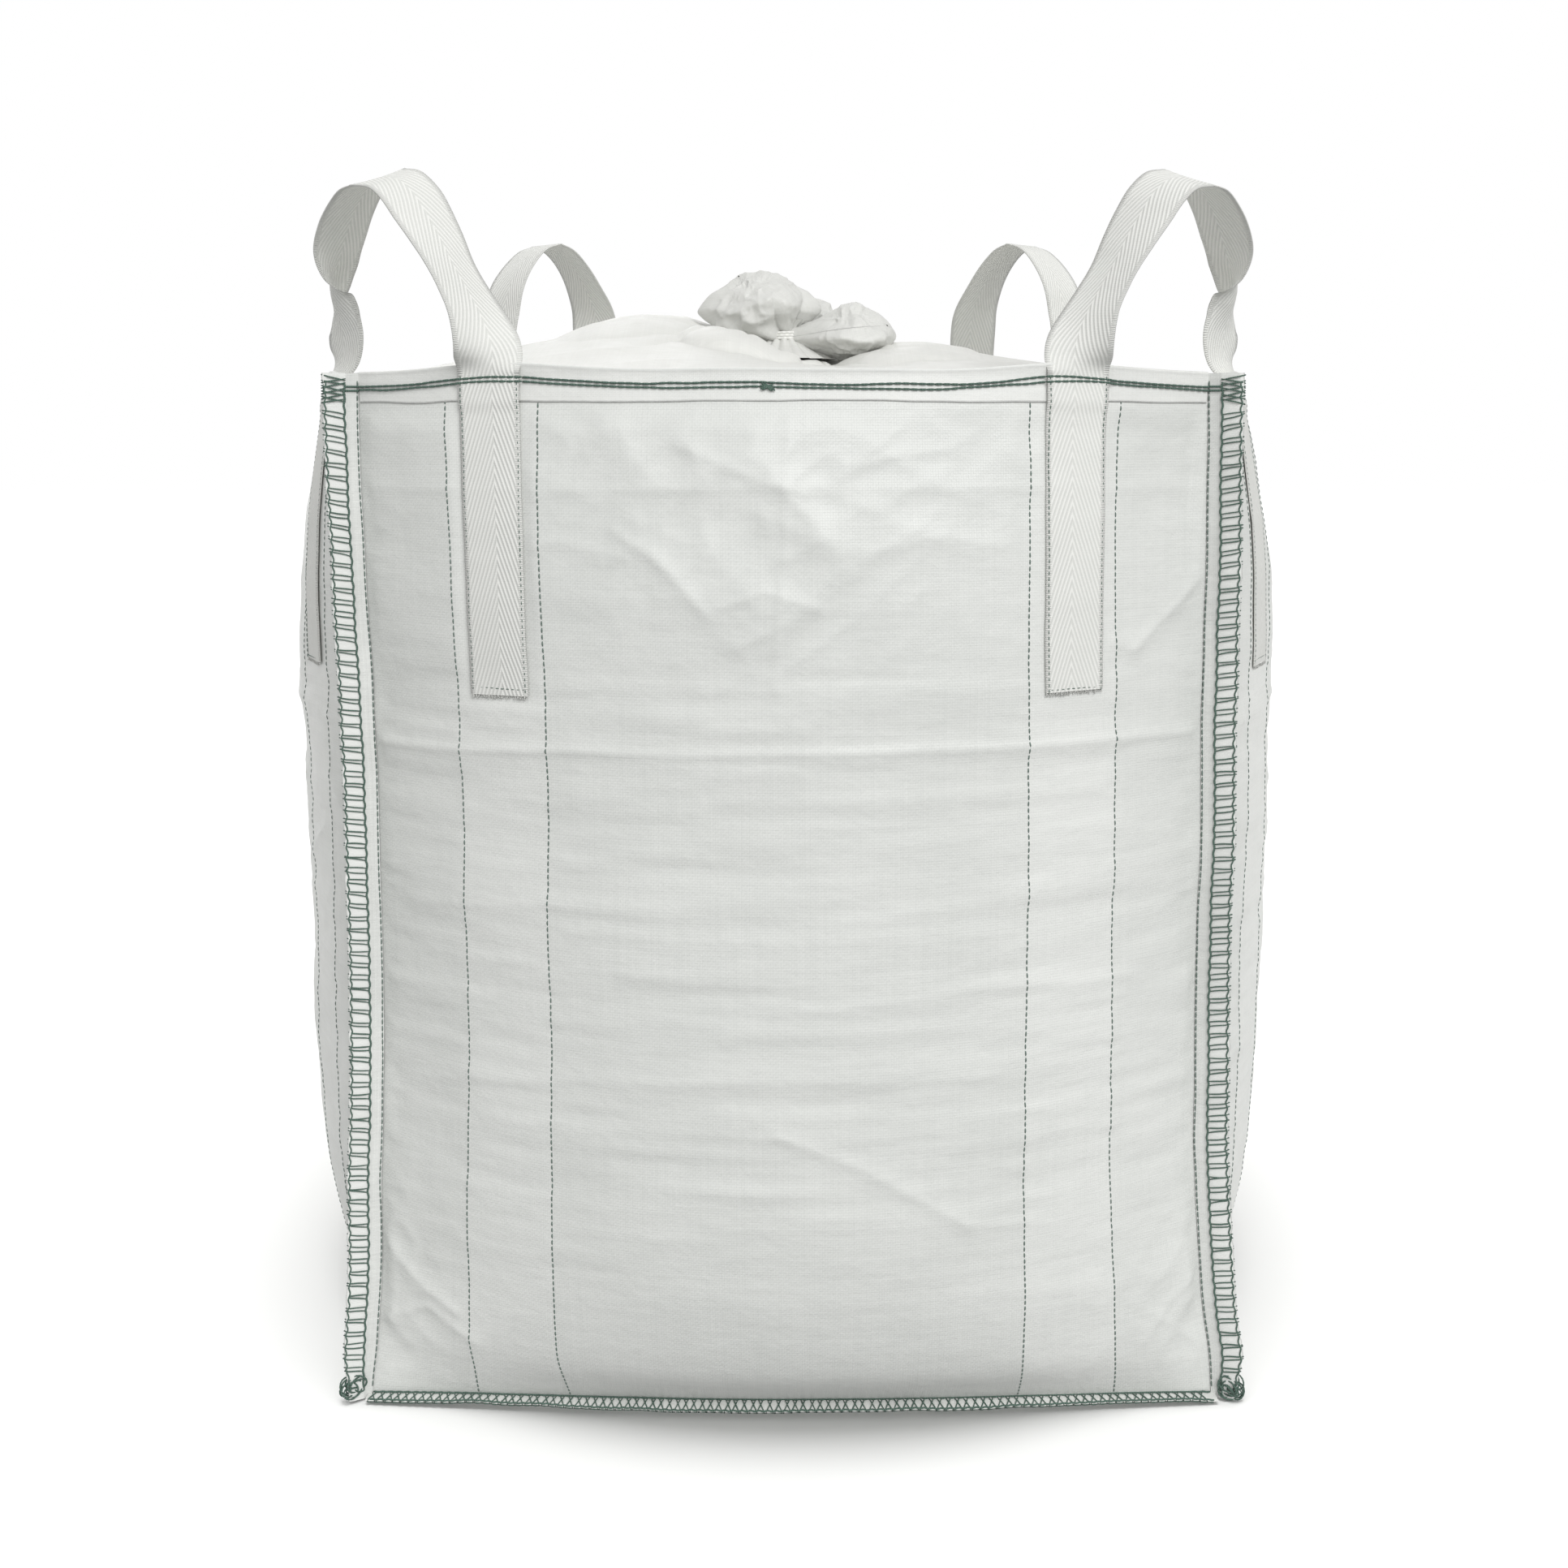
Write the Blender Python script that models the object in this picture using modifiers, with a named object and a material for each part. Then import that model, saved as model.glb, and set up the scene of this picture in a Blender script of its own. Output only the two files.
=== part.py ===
"""Bulk bag (FIBC): four sewn side panels, base, closed top with a tied filling spout, four corner loops.

Metres, +Z up. The bag stands on its base at the origin, and its front faces -Y.
Each side panel is a cloth that starts and ends at a corner seam and bulges between them, as the
filled bag does. The same surface function places the hems and the sewn webbing on it.
"""

import math

import bmesh
import bpy
from mathutils import Matrix, Vector

# ---- driving dimensions ----------------------------------------------------------------------

RIM_Z = 1.050  # top edge of the side panels
CLOTH = 0.003  # modelled thickness of the woven cloth
GAP = 0.0003  # clearance between touching pieces
SEAM_LIFT = 0.010  # how far the filled base lifts the middle of each base seam
LIFT_FADE = 0.37  # height at which the lift has faded out of the panel

# Height, half distance between the corner seams, and bulge of the panel between them.
PROFILE = (
    (0.000, 0.4390, 0.018),
    (0.030, 0.4375, 0.056),
    (0.060, 0.4345, 0.088),
    (0.100, 0.4298, 0.112),
    (0.150, 0.4262, 0.131),
    (0.210, 0.4238, 0.144),
    (0.280, 0.4222, 0.1515),
    (0.370, 0.4213, 0.156),
    (0.500, 0.4212, 0.1575),
    (0.650, 0.4212, 0.158),
    (0.760, 0.4216, 0.1585),
    (0.840, 0.4232, 0.154),
    (0.900, 0.4235, 0.147),
    (0.950, 0.4235, 0.136),
    (1.016, 0.4230, 0.1200),
    (1.050, 0.4225, 0.110),
)
PANEL_LEVELS = (
    0.0, 0.03, 0.06, 0.10, 0.15, 0.21, 0.28, 0.37,
    0.50, 0.65, 0.76, 0.84, 0.90, 0.95, 1.016, 1.050,
)
SIDE_STEPS = 14  # cloth segments across one side
PANEL_TRIM = 0.0004  # each panel stops this far short of where its thickness meets its neighbour

CORNER_FIN = 0.0345  # width of the overlocked corner seam
CORNER_FIN_THICK = 0.005
BASE_FIN = 0.016  # width of the overlocked base seam
BASE_FIN_THICK = 0.004

HEM = 0.034  # height of the hem strip folded over the rim
HEM_THICK = 0.0012
HEM_CLEAR = 0.0014  # clearance to the cloth inside the fold, which is slightly twisted
HEM_END = 0.007  # the hem stops this far short of the corner

WEBBING = 0.065  # width of the lifting webbing
WEBBING_THICK = 0.0022
LEG_S = 0.286  # cloth distance from the middle of a side to the middle of a webbing leg
LEG_BOTTOM_Z = 0.728
FOLD_Z = RIM_Z + 0.0225  # height of the line that a loop folds about
LEG_TOP_Z = FOLD_Z - 0.0030
LOOP_TOP_Z = RIM_Z + 0.2030
LOOP_LEAN = {"fl": 0.020, "fr": 0.020, "br": -0.052, "bl": -0.072}  # top of a loop, outside its fold line

TOP_EDGE_Z = RIM_Z - 0.014  # where the top panel is sewn in, inside the rim
TOP_THICK = 0.0025
TOP_RISE = (0.0, 0.016, 0.030, 0.043, 0.054, 0.062, 0.066, 0.062, 0.054)
SPOUT_HOLE = 0.045  # radius of the hole in the top panel
NECK_Z = RIM_Z + 0.0438  # foot of the spout, on the top cloth
BUNCH_Z = RIM_Z + 0.0825  # height of the point that the tied bunch tips about
TIE_Z = RIM_Z + 0.0645
TIE_MAJOR = 0.0215
TIE_MINOR = 0.0035

SIDES = ("front", "right", "back", "left")
CORNERS = ("fl", "fr", "br", "bl")


# ---- materials -------------------------------------------------------------------------------

def make_material(name, colour, roughness):
    material = bpy.data.materials.new(name)
    material.use_nodes = True
    shader = material.node_tree.nodes["Principled BSDF"]
    shader.inputs["Base Color"].default_value = (*colour, 1.0)
    shader.inputs["Roughness"].default_value = roughness
    shader.inputs["Metallic"].default_value = 0.0
    material.diffuse_color = (*colour, 1.0)
    return material


# ---- the shape of the filled bag ---------------------------------------------------------------

def corner_and_bulge(z):
    """Half distance between corner seams and panel bulge at height z."""
    for low, high in zip(PROFILE, PROFILE[1:]):
        if z <= high[0]:
            part = max(0.0, (z - low[0]) / (high[0] - low[0]))
            return (
                low[1] + part * (high[1] - low[1]),
                low[2] + part * (high[2] - low[2]),
            )
    return PROFILE[-1][1], PROFILE[-1][2]


def arc_of(corner, bulge):
    """Radius and half angle of the arc between two corners."""
    radius = (corner * corner + bulge * bulge) / (2 * bulge)
    return radius, math.asin(corner / radius)


def on_arc(corner, bulge, angle, offset=0.0):
    """Point of the front side's arc, offset outwards."""
    radius, _ = arc_of(corner, bulge)
    reach = radius + offset
    return (
        reach * math.sin(angle),
        -(corner + bulge - radius) - reach * math.cos(angle),
    )


def front_point(u, z, offset=0.0):
    """Point of the front panel at u from -1 to 1 across it, at height z."""
    corner, bulge = corner_and_bulge(z)
    _, half = arc_of(corner, bulge)
    x, y = on_arc(corner, bulge, u * half, offset)
    return Vector((x, y, z))


def front_point_at(s, z, offset=0.0):
    """The same, at a cloth distance s from the panel's middle."""
    corner, bulge = corner_and_bulge(z)
    radius, _ = arc_of(corner, bulge)
    x, y = on_arc(corner, bulge, s / radius, offset)
    return Vector((x, y, z))


def seam_height(u):
    """Height of the base seam along one side."""
    return SEAM_LIFT * (1 - u * u)


def side_steps(trim, z):
    """The values of u across one side, stopping short of both corners by the given cloth length."""
    corner, bulge = corner_and_bulge(z)
    radius, half = arc_of(corner, bulge)
    end = 1 - trim / (radius * half)
    steps = [-1 + 2 * i / SIDE_STEPS for i in range(SIDE_STEPS + 1)]
    steps[0], steps[-1] = -end, end
    return steps


# ---- building blocks ---------------------------------------------------------------------------

def mesh_of(name, rows, wrap=False, fill_last=False):
    """An open cloth surface through rows of points; wrap joins each row's ends."""
    build = bmesh.new()
    grid = [[build.verts.new(point) for point in row] for row in rows]
    count = len(grid[0])
    spans = count if wrap else count - 1
    for low, high in zip(grid, grid[1:]):
        for i in range(spans):
            j = (i + 1) % count
            build.faces.new((low[i], low[j], high[j], high[i]))
    if fill_last:
        build.faces.new(grid[-1])
    for face in build.faces:
        face.smooth = True
    mesh = bpy.data.meshes.new(name)
    build.to_mesh(mesh)
    build.free()
    return mesh


def add_object(name, mesh, material, turn=0.0, location=(0.0, 0.0, 0.0)):
    """A named object in the bag's collection, turned about +Z by a number of degrees."""
    if not mesh.materials:
        mesh.materials.append(material)
    made = bpy.data.objects.new(name, mesh)
    made.matrix_world = Matrix.Translation(location) @ Matrix.Rotation(math.radians(turn), 4, "Z")
    bag.objects.link(made)
    return made


def thicken(made, thickness, offset):
    """Solidify; offset -1 puts the thickness behind the surface, 0 on both sides of it."""
    solid = made.modifiers.new("thickness", "SOLIDIFY")
    solid.thickness = thickness
    solid.offset = offset
    solid.use_even_offset = True
    solid.use_rim = True
    return solid


def four_sides(prefix, mesh, material, thickness, offset):
    """The same piece on the front, right, back and left."""
    for number, side in enumerate(SIDES):
        made = add_object(f"{prefix}_{side}", mesh, material, 90 * number)
        thicken(made, thickness, offset)


def panel_trim(z):
    """How far a side cloth stops short of the corner, so that its inner face clears its neighbour's."""
    _, half = arc_of(*corner_and_bulge(z))
    return PANEL_TRIM + CLOTH / math.tan(math.pi / 4 + half)


# ---- pieces ------------------------------------------------------------------------------------

def panel_mesh():
    """One side cloth: its outer face, from the base seam to the rim."""
    rows = []
    for level in PANEL_LEVELS:
        fade = max(0.0, 1 - level / LIFT_FADE) ** 2
        row = []
        for u in side_steps(panel_trim(level), level):
            z = level + (seam_height(u) + CLOTH + 2 * GAP) * fade
            row.append(front_point(u, z))
        rows.append(row)
    return mesh_of("panel_cloth", rows)


def hem_mesh():
    """Strip folded over the rim: outside, over the edge, and down inside."""
    outside, inside = HEM_CLEAR, -1.1 * CLOTH - HEM_CLEAR  # the leaning cloth measures more across
    bottom, top = RIM_Z - HEM, RIM_Z + GAP
    path = ((outside, bottom), (outside, top), (inside, top), (inside, bottom))
    rows = []
    for offset, z in path:
        row = []
        for u in side_steps(HEM_END, RIM_Z):
            point = front_point(u, min(z, RIM_Z), offset)
            point.z = z
            row.append(point)
        rows.append(row)
    return mesh_of("hem_strip", rows)


def corner_fin_mesh():
    """Overlocked seam allowance standing out along the diagonal of the front left corner."""
    outward = Vector((-1.0, -1.0, 0.0)).normalized()
    rows = []
    for level in PANEL_LEVELS:
        corner, _ = corner_and_bulge(level)
        z = max(level, 2 * GAP)
        foot = Vector((-corner, -corner, z)) + outward * (3 * GAP)
        rows.append([foot, foot + outward * CORNER_FIN])
    return mesh_of("corner_seam", rows)


def base_fin_mesh():
    """Overlocked seam allowance standing out along the bottom of one side."""
    inner, outer = [], []
    for u in side_steps(0.0048, 0.0):
        height = seam_height(u)
        z = height + GAP + BASE_FIN_THICK / 2
        beside = height + CLOTH + BASE_FIN_THICK
        start = front_point(u, beside, 3 * GAP)
        end = front_point(u, beside, 3 * GAP + BASE_FIN)
        inner.append(Vector((start.x, start.y, z)))
        outer.append(Vector((end.x, end.y, z)))
    return mesh_of("base_seam", [inner, outer])


def ring_outline(shrink, z_of_u, profile_z=None):
    """Closed outline of the bag, corner to corner round all four sides."""
    outline = []
    for number in range(4):
        turn = Matrix.Rotation(math.radians(90 * number), 3, "Z")
        for i in range(SIDE_STEPS):
            u = -1 + 2 * i / SIDE_STEPS
            z = z_of_u(u)
            corner, bulge = corner_and_bulge(z if profile_z is None else profile_z)
            corner -= shrink
            _, half = arc_of(corner, bulge)
            x, y = on_arc(corner, bulge, u * half)
            outline.append(turn @ Vector((x, y, z)))
    return outline


def base_mesh():
    """Base cloth: flat where it rests, rising to the base seam at its edge."""
    outline = ring_outline(0.0, seam_height)
    rows = []
    for share in (1.0, 0.95, 0.89, 0.82, 0.75):
        rise = ((share - 0.75) / 0.25) ** 2
        rows.append([Vector((p.x * share, p.y * share, p.z * rise)) for p in outline])
    return mesh_of("base_cloth", rows, wrap=True, fill_last=True)


def top_mesh():
    """Top cloth: from inside the rim up over a low dome to the spout's hole."""
    outline = ring_outline(0.0070, lambda u: TOP_EDGE_Z, RIM_Z)
    rows = []
    for number, rise in enumerate(TOP_RISE):
        share = (number / (len(TOP_RISE) - 1)) ** 0.9
        row = []
        for point in outline:
            flat = Vector((point.x, point.y))
            hole = flat.normalized() * SPOUT_HOLE
            place = flat.lerp(hole, share)
            row.append(Vector((place.x, place.y, TOP_EDGE_Z + rise)))
        rows.append(row)
    return mesh_of("top_cloth", rows, wrap=True)


def loop_foot():
    """Where the middle of the front left leg meets the fold line: radius and distance along it."""
    point = front_point_at(-LEG_S, RIM_Z, leg_offset(RIM_Z))
    return -(point.x + point.y) / math.sqrt(2), (point.x - point.y) / math.sqrt(2)


def leg_offset(z):
    """Distance of the webbing's middle from the panel: it steps out over the hem."""
    on_panel = GAP + WEBBING_THICK / 2 + 0.0002
    on_hem = on_panel + HEM_THICK + HEM_CLEAR + GAP
    if z <= 0.95:
        return on_panel
    if z >= RIM_Z - HEM - 0.008:
        return on_hem
    return on_panel + (on_hem - on_panel) * (z - 0.95) / (RIM_Z - HEM - 0.008 - 0.95)


def leg_mesh(sign):
    """Webbing sewn to the front panel, and its short free end that turns to the fold line."""
    across = [WEBBING * (i / 4 - 0.5) for i in range(5)]
    rows = []
    for z in (LEG_BOTTOM_Z, 0.76, 0.84, 0.90, 0.95, RIM_Z - HEM - 0.008, RIM_Z, RIM_Z + 0.0025):
        row = []
        for s in across:
            point = front_point_at(sign * LEG_S + s, min(z, RIM_Z), leg_offset(min(z, RIM_Z)))
            row.append(Vector((point.x, point.y, z)))
        rows.append(row)
    radius, along = loop_foot()
    foot = Vector((-sign * -radius, -radius, 0.0)) / math.sqrt(2)
    fold_axis = Vector((1.0, sign, 0.0)).normalized()
    centre = foot - fold_axis * sign * along
    last = rows[-1]
    for part, z in ((0.30, RIM_Z + 0.0080), (0.72, RIM_Z + 0.0140), (1.0, LEG_TOP_Z)):
        row = []
        for s, below in zip(across, last):
            target = centre + fold_axis * s
            place = Vector((below.x, below.y)).lerp(Vector((target.x, target.y)), part)
            row.append(Vector((place.x, place.y, z)))
        rows.append(row)
    return mesh_of("webbing_leg", rows)


def bezier(points, t):
    a, b, c, d = points
    return a * (1 - t) ** 3 + 3 * b * t * (1 - t) ** 2 + 3 * c * t * t * (1 - t) + d * t ** 3


def smooth(low, high, value):
    part = min(1.0, max(0.0, (value - low) / (high - low)))
    return part * part * (3 - 2 * part)


def loop_mesh(lean):
    """The standing loop, from foot to foot. Its own axes: +X outward, +Y along the fold line."""
    _, along = loop_foot()
    top = LOOP_TOP_Z - FOLD_Z
    y_path = (along, along - 0.002, 0.040, 0.0)
    z_path = (0.0004, 0.062, top, top)
    count = 26
    path, turns = [], []
    for i in range(count + 1):
        p = -1 + 2 * i / count
        t = 1 - abs(p)
        y = bezier(y_path, t) * (-1 if p > 0 else 1)
        path.append(Vector((lean * smooth(0.0, 1.0, t), y, bezier(z_path, t))))
        turns.append(math.radians(90) * (1 - smooth(0.12, 0.92, t)))
    rows = []
    for i, (place, turn) in enumerate(zip(path, turns)):
        run = path[min(i + 1, count)] - path[max(i - 1, 0)]
        run = Vector((0.0, run.y, run.z)).normalized()
        if i in (0, count):
            run = Vector((0.0, 0.0, 1.0 if i == 0 else -1.0))
        within = Vector((0.0, -run.z, run.y))
        width = Vector((1.0, 0.0, 0.0)) * math.cos(turn) + within * math.sin(turn)
        rows.append([place + width * WEBBING * share for share in (-0.5, 0.0, 0.5)])
    return mesh_of("webbing_loop", rows)


def turned_mesh(name, outline, steps):
    """A solid of revolution from an outline of (radius, height) that starts and ends on the axis."""
    build = bmesh.new()
    rings = []
    for radius, z in outline:
        if radius == 0:
            rings.append([build.verts.new((0.0, 0.0, z))])
            continue
        angles = [2 * math.pi * i / steps for i in range(steps)]
        rings.append([build.verts.new((radius * math.cos(a), radius * math.sin(a), z)) for a in angles])
    for low, high in zip(rings, rings[1:]):
        for i in range(steps):
            j = (i + 1) % steps
            if len(low) == 1:
                build.faces.new((low[0], high[j], high[i]))
            elif len(high) == 1:
                build.faces.new((low[i], low[j], high[0]))
            else:
                build.faces.new((low[i], low[j], high[j], high[i]))
    bmesh.ops.recalc_face_normals(build, faces=build.faces)
    for face in build.faces:
        face.smooth = True
    mesh = bpy.data.meshes.new(name)
    build.to_mesh(mesh)
    build.free()
    return mesh


def neck_mesh():
    """Filling spout below its tie: a flared collar sewn on the top cloth and drawn in tight."""
    outline = (
        (0.0, 0.0250),
        (0.0150, 0.0250),
        (0.0162, 0.0167),
        (0.0220, 0.0117),
        (0.0400, 0.0057),
        (0.0580, 0.0022),
        (0.0580, 0.0),
        (0.0395, 0.0034),
        (0.0200, 0.0090),
        (0.0, 0.0112),
    )
    return turned_mesh("spout_cloth", outline, 20)


def bunch_mesh():
    """Filling spout above its tie: a pleated bunch on a round foot, about the point it tips on."""
    outline = (
        (-0.0130, 0.0, 0.0),
        (-0.0115, 0.0060, 0.0060),
        (-0.0070, 0.0110, 0.0110),
        (0.0000, 0.0140, 0.0140),
        (0.0050, 0.0450, 0.0300),
        (0.0110, 0.0980, 0.0470),
        (0.0215, 0.1220, 0.0550),
        (0.0370, 0.1080, 0.0520),
        (0.0510, 0.0740, 0.0400),
        (0.0610, 0.0350, 0.0220),
        (0.0650, 0.0, 0.0),
    )
    steps = 24
    build = bmesh.new()
    rings = []
    for z, wide, deep in outline:
        if wide == 0:
            rings.append([build.verts.new((0.0, 0.0, z))])
            continue
        pleat = 0.10 if wide > 0.02 else 0.0
        ring = []
        for i in range(steps):
            angle = 2 * math.pi * i / steps
            swell = 1 - pleat * (1 + math.cos(6 * angle)) / 2
            ring.append(build.verts.new((wide * swell * math.cos(angle), deep * swell * math.sin(angle), z)))
        rings.append(ring)
    for low, high in zip(rings, rings[1:]):
        for i in range(steps):
            j = (i + 1) % steps
            if len(low) == 1:
                build.faces.new((low[0], high[j], high[i]))
            elif len(high) == 1:
                build.faces.new((low[i], low[j], high[0]))
            else:
                build.faces.new((low[i], low[j], high[j], high[i]))
    bmesh.ops.recalc_face_normals(build, faces=build.faces)
    for face in build.faces:
        face.smooth = True
    mesh = bpy.data.meshes.new("spout_bunch")
    build.to_mesh(mesh)
    build.free()
    return mesh


def tie_object(material):
    """The tie wound tight round the neck of the spout."""
    bpy.ops.mesh.primitive_torus_add(
        major_radius=TIE_MAJOR,
        minor_radius=TIE_MINOR,
        major_segments=20,
        minor_segments=8,
        location=(0.0, 0.0, TIE_Z),
    )
    made = bpy.context.object
    made.name = "spout_tie"
    for owner in made.users_collection:
        owner.objects.unlink(made)
    bag.objects.link(made)
    made.data.materials.append(material)
    for face in made.data.polygons:
        face.use_smooth = True
    return made


# ---- the bag -----------------------------------------------------------------------------------

for old in list(bpy.data.objects):
    bpy.data.objects.remove(old, do_unlink=True)
bag = bpy.data.collections.new("bulk_bag")
bpy.context.scene.collection.children.link(bag)

panel_cloth = make_material("panel_cloth", (0.72, 0.73, 0.71), 0.55)
top_cloth = make_material("top_cloth", (0.80, 0.80, 0.77), 0.50)
hem_cloth = make_material("hem_cloth", (0.80, 0.80, 0.78), 0.55)
webbing = make_material("webbing", (0.78, 0.79, 0.77), 0.70)
seam_thread = make_material("seam_thread", (0.33, 0.42, 0.37), 0.75)
tie_cord = make_material("tie_cord", (0.80, 0.80, 0.78), 0.80)

base = add_object("base_panel", base_mesh(), panel_cloth)
thicken(base, CLOTH, 1.0)

four_sides("panel", panel_mesh(), panel_cloth, CLOTH, -1.0)
four_sides("hem", hem_mesh(), hem_cloth, HEM_THICK, 1.0)
four_sides("base_seam", base_fin_mesh(), seam_thread, BASE_FIN_THICK, 0.0)

corner_fin = corner_fin_mesh()
for number, corner_name in enumerate(CORNERS):
    seam = add_object(f"corner_seam_{corner_name}", corner_fin, seam_thread, 90 * number)
    thicken(seam, CORNER_FIN_THICK, 0.0)

left_leg, right_leg = leg_mesh(-1), leg_mesh(1)
for number, side in enumerate(SIDES):
    for leg, corner_name in ((left_leg, CORNERS[number]), (right_leg, CORNERS[(number + 1) % 4])):
        sewn = add_object(f"leg_{side}_{corner_name}", leg, webbing, 90 * number)
        thicken(sewn, WEBBING_THICK, 0.0)

fold_radius, _ = loop_foot()
for number, corner_name in enumerate(CORNERS):
    angle = 225 + 90 * number
    place = Matrix.Rotation(math.radians(angle), 3, "Z") @ Vector((fold_radius, 0.0, FOLD_Z))
    lifting = add_object(f"loop_{corner_name}", loop_mesh(LOOP_LEAN[corner_name]), webbing, angle, place)
    thicken(lifting, WEBBING_THICK, 0.0)

top = add_object("top_panel", top_mesh(), top_cloth)
thicken(top, TOP_THICK, -1.0)
add_object("spout_neck", neck_mesh(), top_cloth, location=(0.0, 0.0, NECK_Z))
add_object("spout_bunch", bunch_mesh(), top_cloth, location=(0.0, 0.0, BUNCH_Z))
tie_object(tie_cord)
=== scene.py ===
"""Looks of a filled bulk bag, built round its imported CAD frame. Metres, +Z up, the front faces -Y."""

import math

import bpy
import numpy as np
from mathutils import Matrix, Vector


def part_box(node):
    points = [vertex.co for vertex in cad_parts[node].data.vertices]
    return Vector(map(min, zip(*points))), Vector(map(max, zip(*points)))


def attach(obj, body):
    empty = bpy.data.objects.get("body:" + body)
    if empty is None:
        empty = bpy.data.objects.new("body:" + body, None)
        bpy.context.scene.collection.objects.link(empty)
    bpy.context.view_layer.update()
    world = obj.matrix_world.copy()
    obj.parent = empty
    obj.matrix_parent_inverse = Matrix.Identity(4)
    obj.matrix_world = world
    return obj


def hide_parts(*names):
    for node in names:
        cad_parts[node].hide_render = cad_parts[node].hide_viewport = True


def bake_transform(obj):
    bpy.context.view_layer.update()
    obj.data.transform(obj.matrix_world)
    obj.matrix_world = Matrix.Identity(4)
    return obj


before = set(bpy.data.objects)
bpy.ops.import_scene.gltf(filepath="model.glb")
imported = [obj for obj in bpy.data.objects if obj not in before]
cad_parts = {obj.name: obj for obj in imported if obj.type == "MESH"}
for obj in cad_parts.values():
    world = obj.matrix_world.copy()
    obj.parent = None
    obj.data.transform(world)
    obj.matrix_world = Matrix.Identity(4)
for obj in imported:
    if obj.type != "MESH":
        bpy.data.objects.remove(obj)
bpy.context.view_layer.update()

# ---- dimensions --------------------------------------------------------------------------------

SIDES = ("front", "right", "back", "left")
CORNERS = ("fl", "fr", "br", "bl")

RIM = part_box("panel_front")[1].z  # top edge of the side cloths

# Height, half distance between the corner seams, and bulge of the cloth between them.
PROFILE = np.array((
    (0.000, 0.439, 0.011), (0.03, 0.4375, 0.05), (0.06, 0.4345, 0.088), (0.1, 0.4298, 0.112),
    (0.15, 0.4262, 0.131), (0.21, 0.4238, 0.144), (0.28, 0.4222, 0.1515), (0.37, 0.4213, 0.156),
    (0.5, 0.4212, 0.1575), (0.65, 0.4212, 0.158), (0.76, 0.4216, 0.1585), (0.84, 0.4232, 0.154),
    (0.9, 0.4235, 0.147), (0.95, 0.4235, 0.136), (1.016, 0.423, 0.12), (1.05, 0.4225, 0.11),
))
SEAM_LIFT = 0.008  # the middle of each base seam stands this high
LIFT_FADE = 0.37
HEM = 0.025
FIN = 0.0345  # width of a corner seam
LADDER = 0.014  # the overlock starts this far from the seam's foot
PITCH = 0.0124  # one pair of overlock stitches
BASE_FIN = 0.0155
LEG_S = 0.286  # middle of a webbing leg, from the middle of its side
LEG_LOW = 0.746
WEBBING = 0.065
WEB_THICK = 0.0022
MARKER = 0.05  # marker yarns stand this far from the middle of the leg
CUT = 0.92  # width that a side cloth was cut to
TUBE_SIDES = 6


# ---- numbers -----------------------------------------------------------------------------------

def ease(value, low=0.0, high=1.0):
    part = np.clip((np.asarray(value, float) - low) / (high - low), 0.0, 1.0)
    return part * part * (3 - 2 * part)


def noise(seed, x, y, cell_x, cell_y):
    """Smooth noise from -1 to 1 over a lattice of random values."""
    table = np.random.default_rng(seed).uniform(-1, 1, (61, 61))
    gx, gy = np.asarray(x) / cell_x + 500.37, np.asarray(y) / cell_y + 500.71
    ix, iy = np.floor(gx).astype(int), np.floor(gy).astype(int)
    fx, fy = gx - ix, gy - iy
    fx, fy = fx ** 3 * (fx * (fx * 6 - 15) + 10), fy ** 3 * (fy * (fy * 6 - 15) + 10)
    a, b = table[ix % 61, iy % 61], table[(ix + 1) % 61, iy % 61]
    c, d = table[ix % 61, (iy + 1) % 61], table[(ix + 1) % 61, (iy + 1) % 61]
    return (a * (1 - fx) + b * fx) * (1 - fy) + (c * (1 - fx) + d * fx) * fy


def along(seed, x, cell, row=0.5):
    """Smooth noise from -1 to 1 along a line."""
    return noise(seed, x, row, cell, 1.0)


def noise3(seed, points, cell):
    """Smooth noise from -1 to 1 in space."""
    table = np.random.default_rng(seed).uniform(-1, 1, (31, 31, 31))
    grid = np.asarray(points) / cell + 300.41
    low = np.floor(grid).astype(int)
    f = grid - low
    f = f ** 3 * (f * (f * 6 - 15) + 10)
    total = 0.0
    for i in (0, 1):
        for j in (0, 1):
            for k in (0, 1):
                weight = 1.0
                for axis, step in enumerate((i, j, k)):
                    weight = weight * (f[..., axis] if step else 1 - f[..., axis])
                total = total + weight * table[(low[..., 0] + i) % 31, (low[..., 1] + j) % 31,
                                               (low[..., 2] + k) % 31]
    return total


def creased(seed, x, y, cell, turn, stretch=1.0):
    """Noise with sharp ridges, like crumpled film, turned by some degrees and drawn out along one way."""
    c, s = math.cos(math.radians(turn)), math.sin(math.radians(turn))
    a = noise(seed, x * c + y * s, y * c - x * s, cell * stretch, cell)
    return 0.45 - np.abs(a)


def rotated(x, y, degrees):
    c, s = math.cos(math.radians(degrees)), math.sin(math.radians(degrees))
    return x * c - y * s, x * s + y * c


def smoothed(column):
    """The profile with its corners rounded off."""
    spread = 5
    levels = np.arange(0.0, PROFILE[-1, 0] + 1e-6, 0.005)
    values = np.interp(levels, PROFILE[:, 0], PROFILE[:, column])
    before = 2 * values[0] - values[spread:0:-1]
    after = 2 * values[-1] - values[-2:-spread - 2:-1]
    window = np.hanning(2 * spread + 3)[1:-1]
    return levels, np.convolve(np.concatenate((before, values, after)), window / window.sum(), "valid")


CORNER_TABLE, BULGE_TABLE = smoothed(1), smoothed(2)


def arc(z):
    """Corner distance, bulge, radius and half angle of the cloth's arc at height z."""
    corner, bulge = np.interp(z, *CORNER_TABLE), np.interp(z, *BULGE_TABLE)
    radius = (corner * corner + bulge * bulge) / (2 * bulge)
    return corner, bulge, radius, np.arcsin(corner / radius)


# ---- the relief of the side cloths -------------------------------------------------------------

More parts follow.
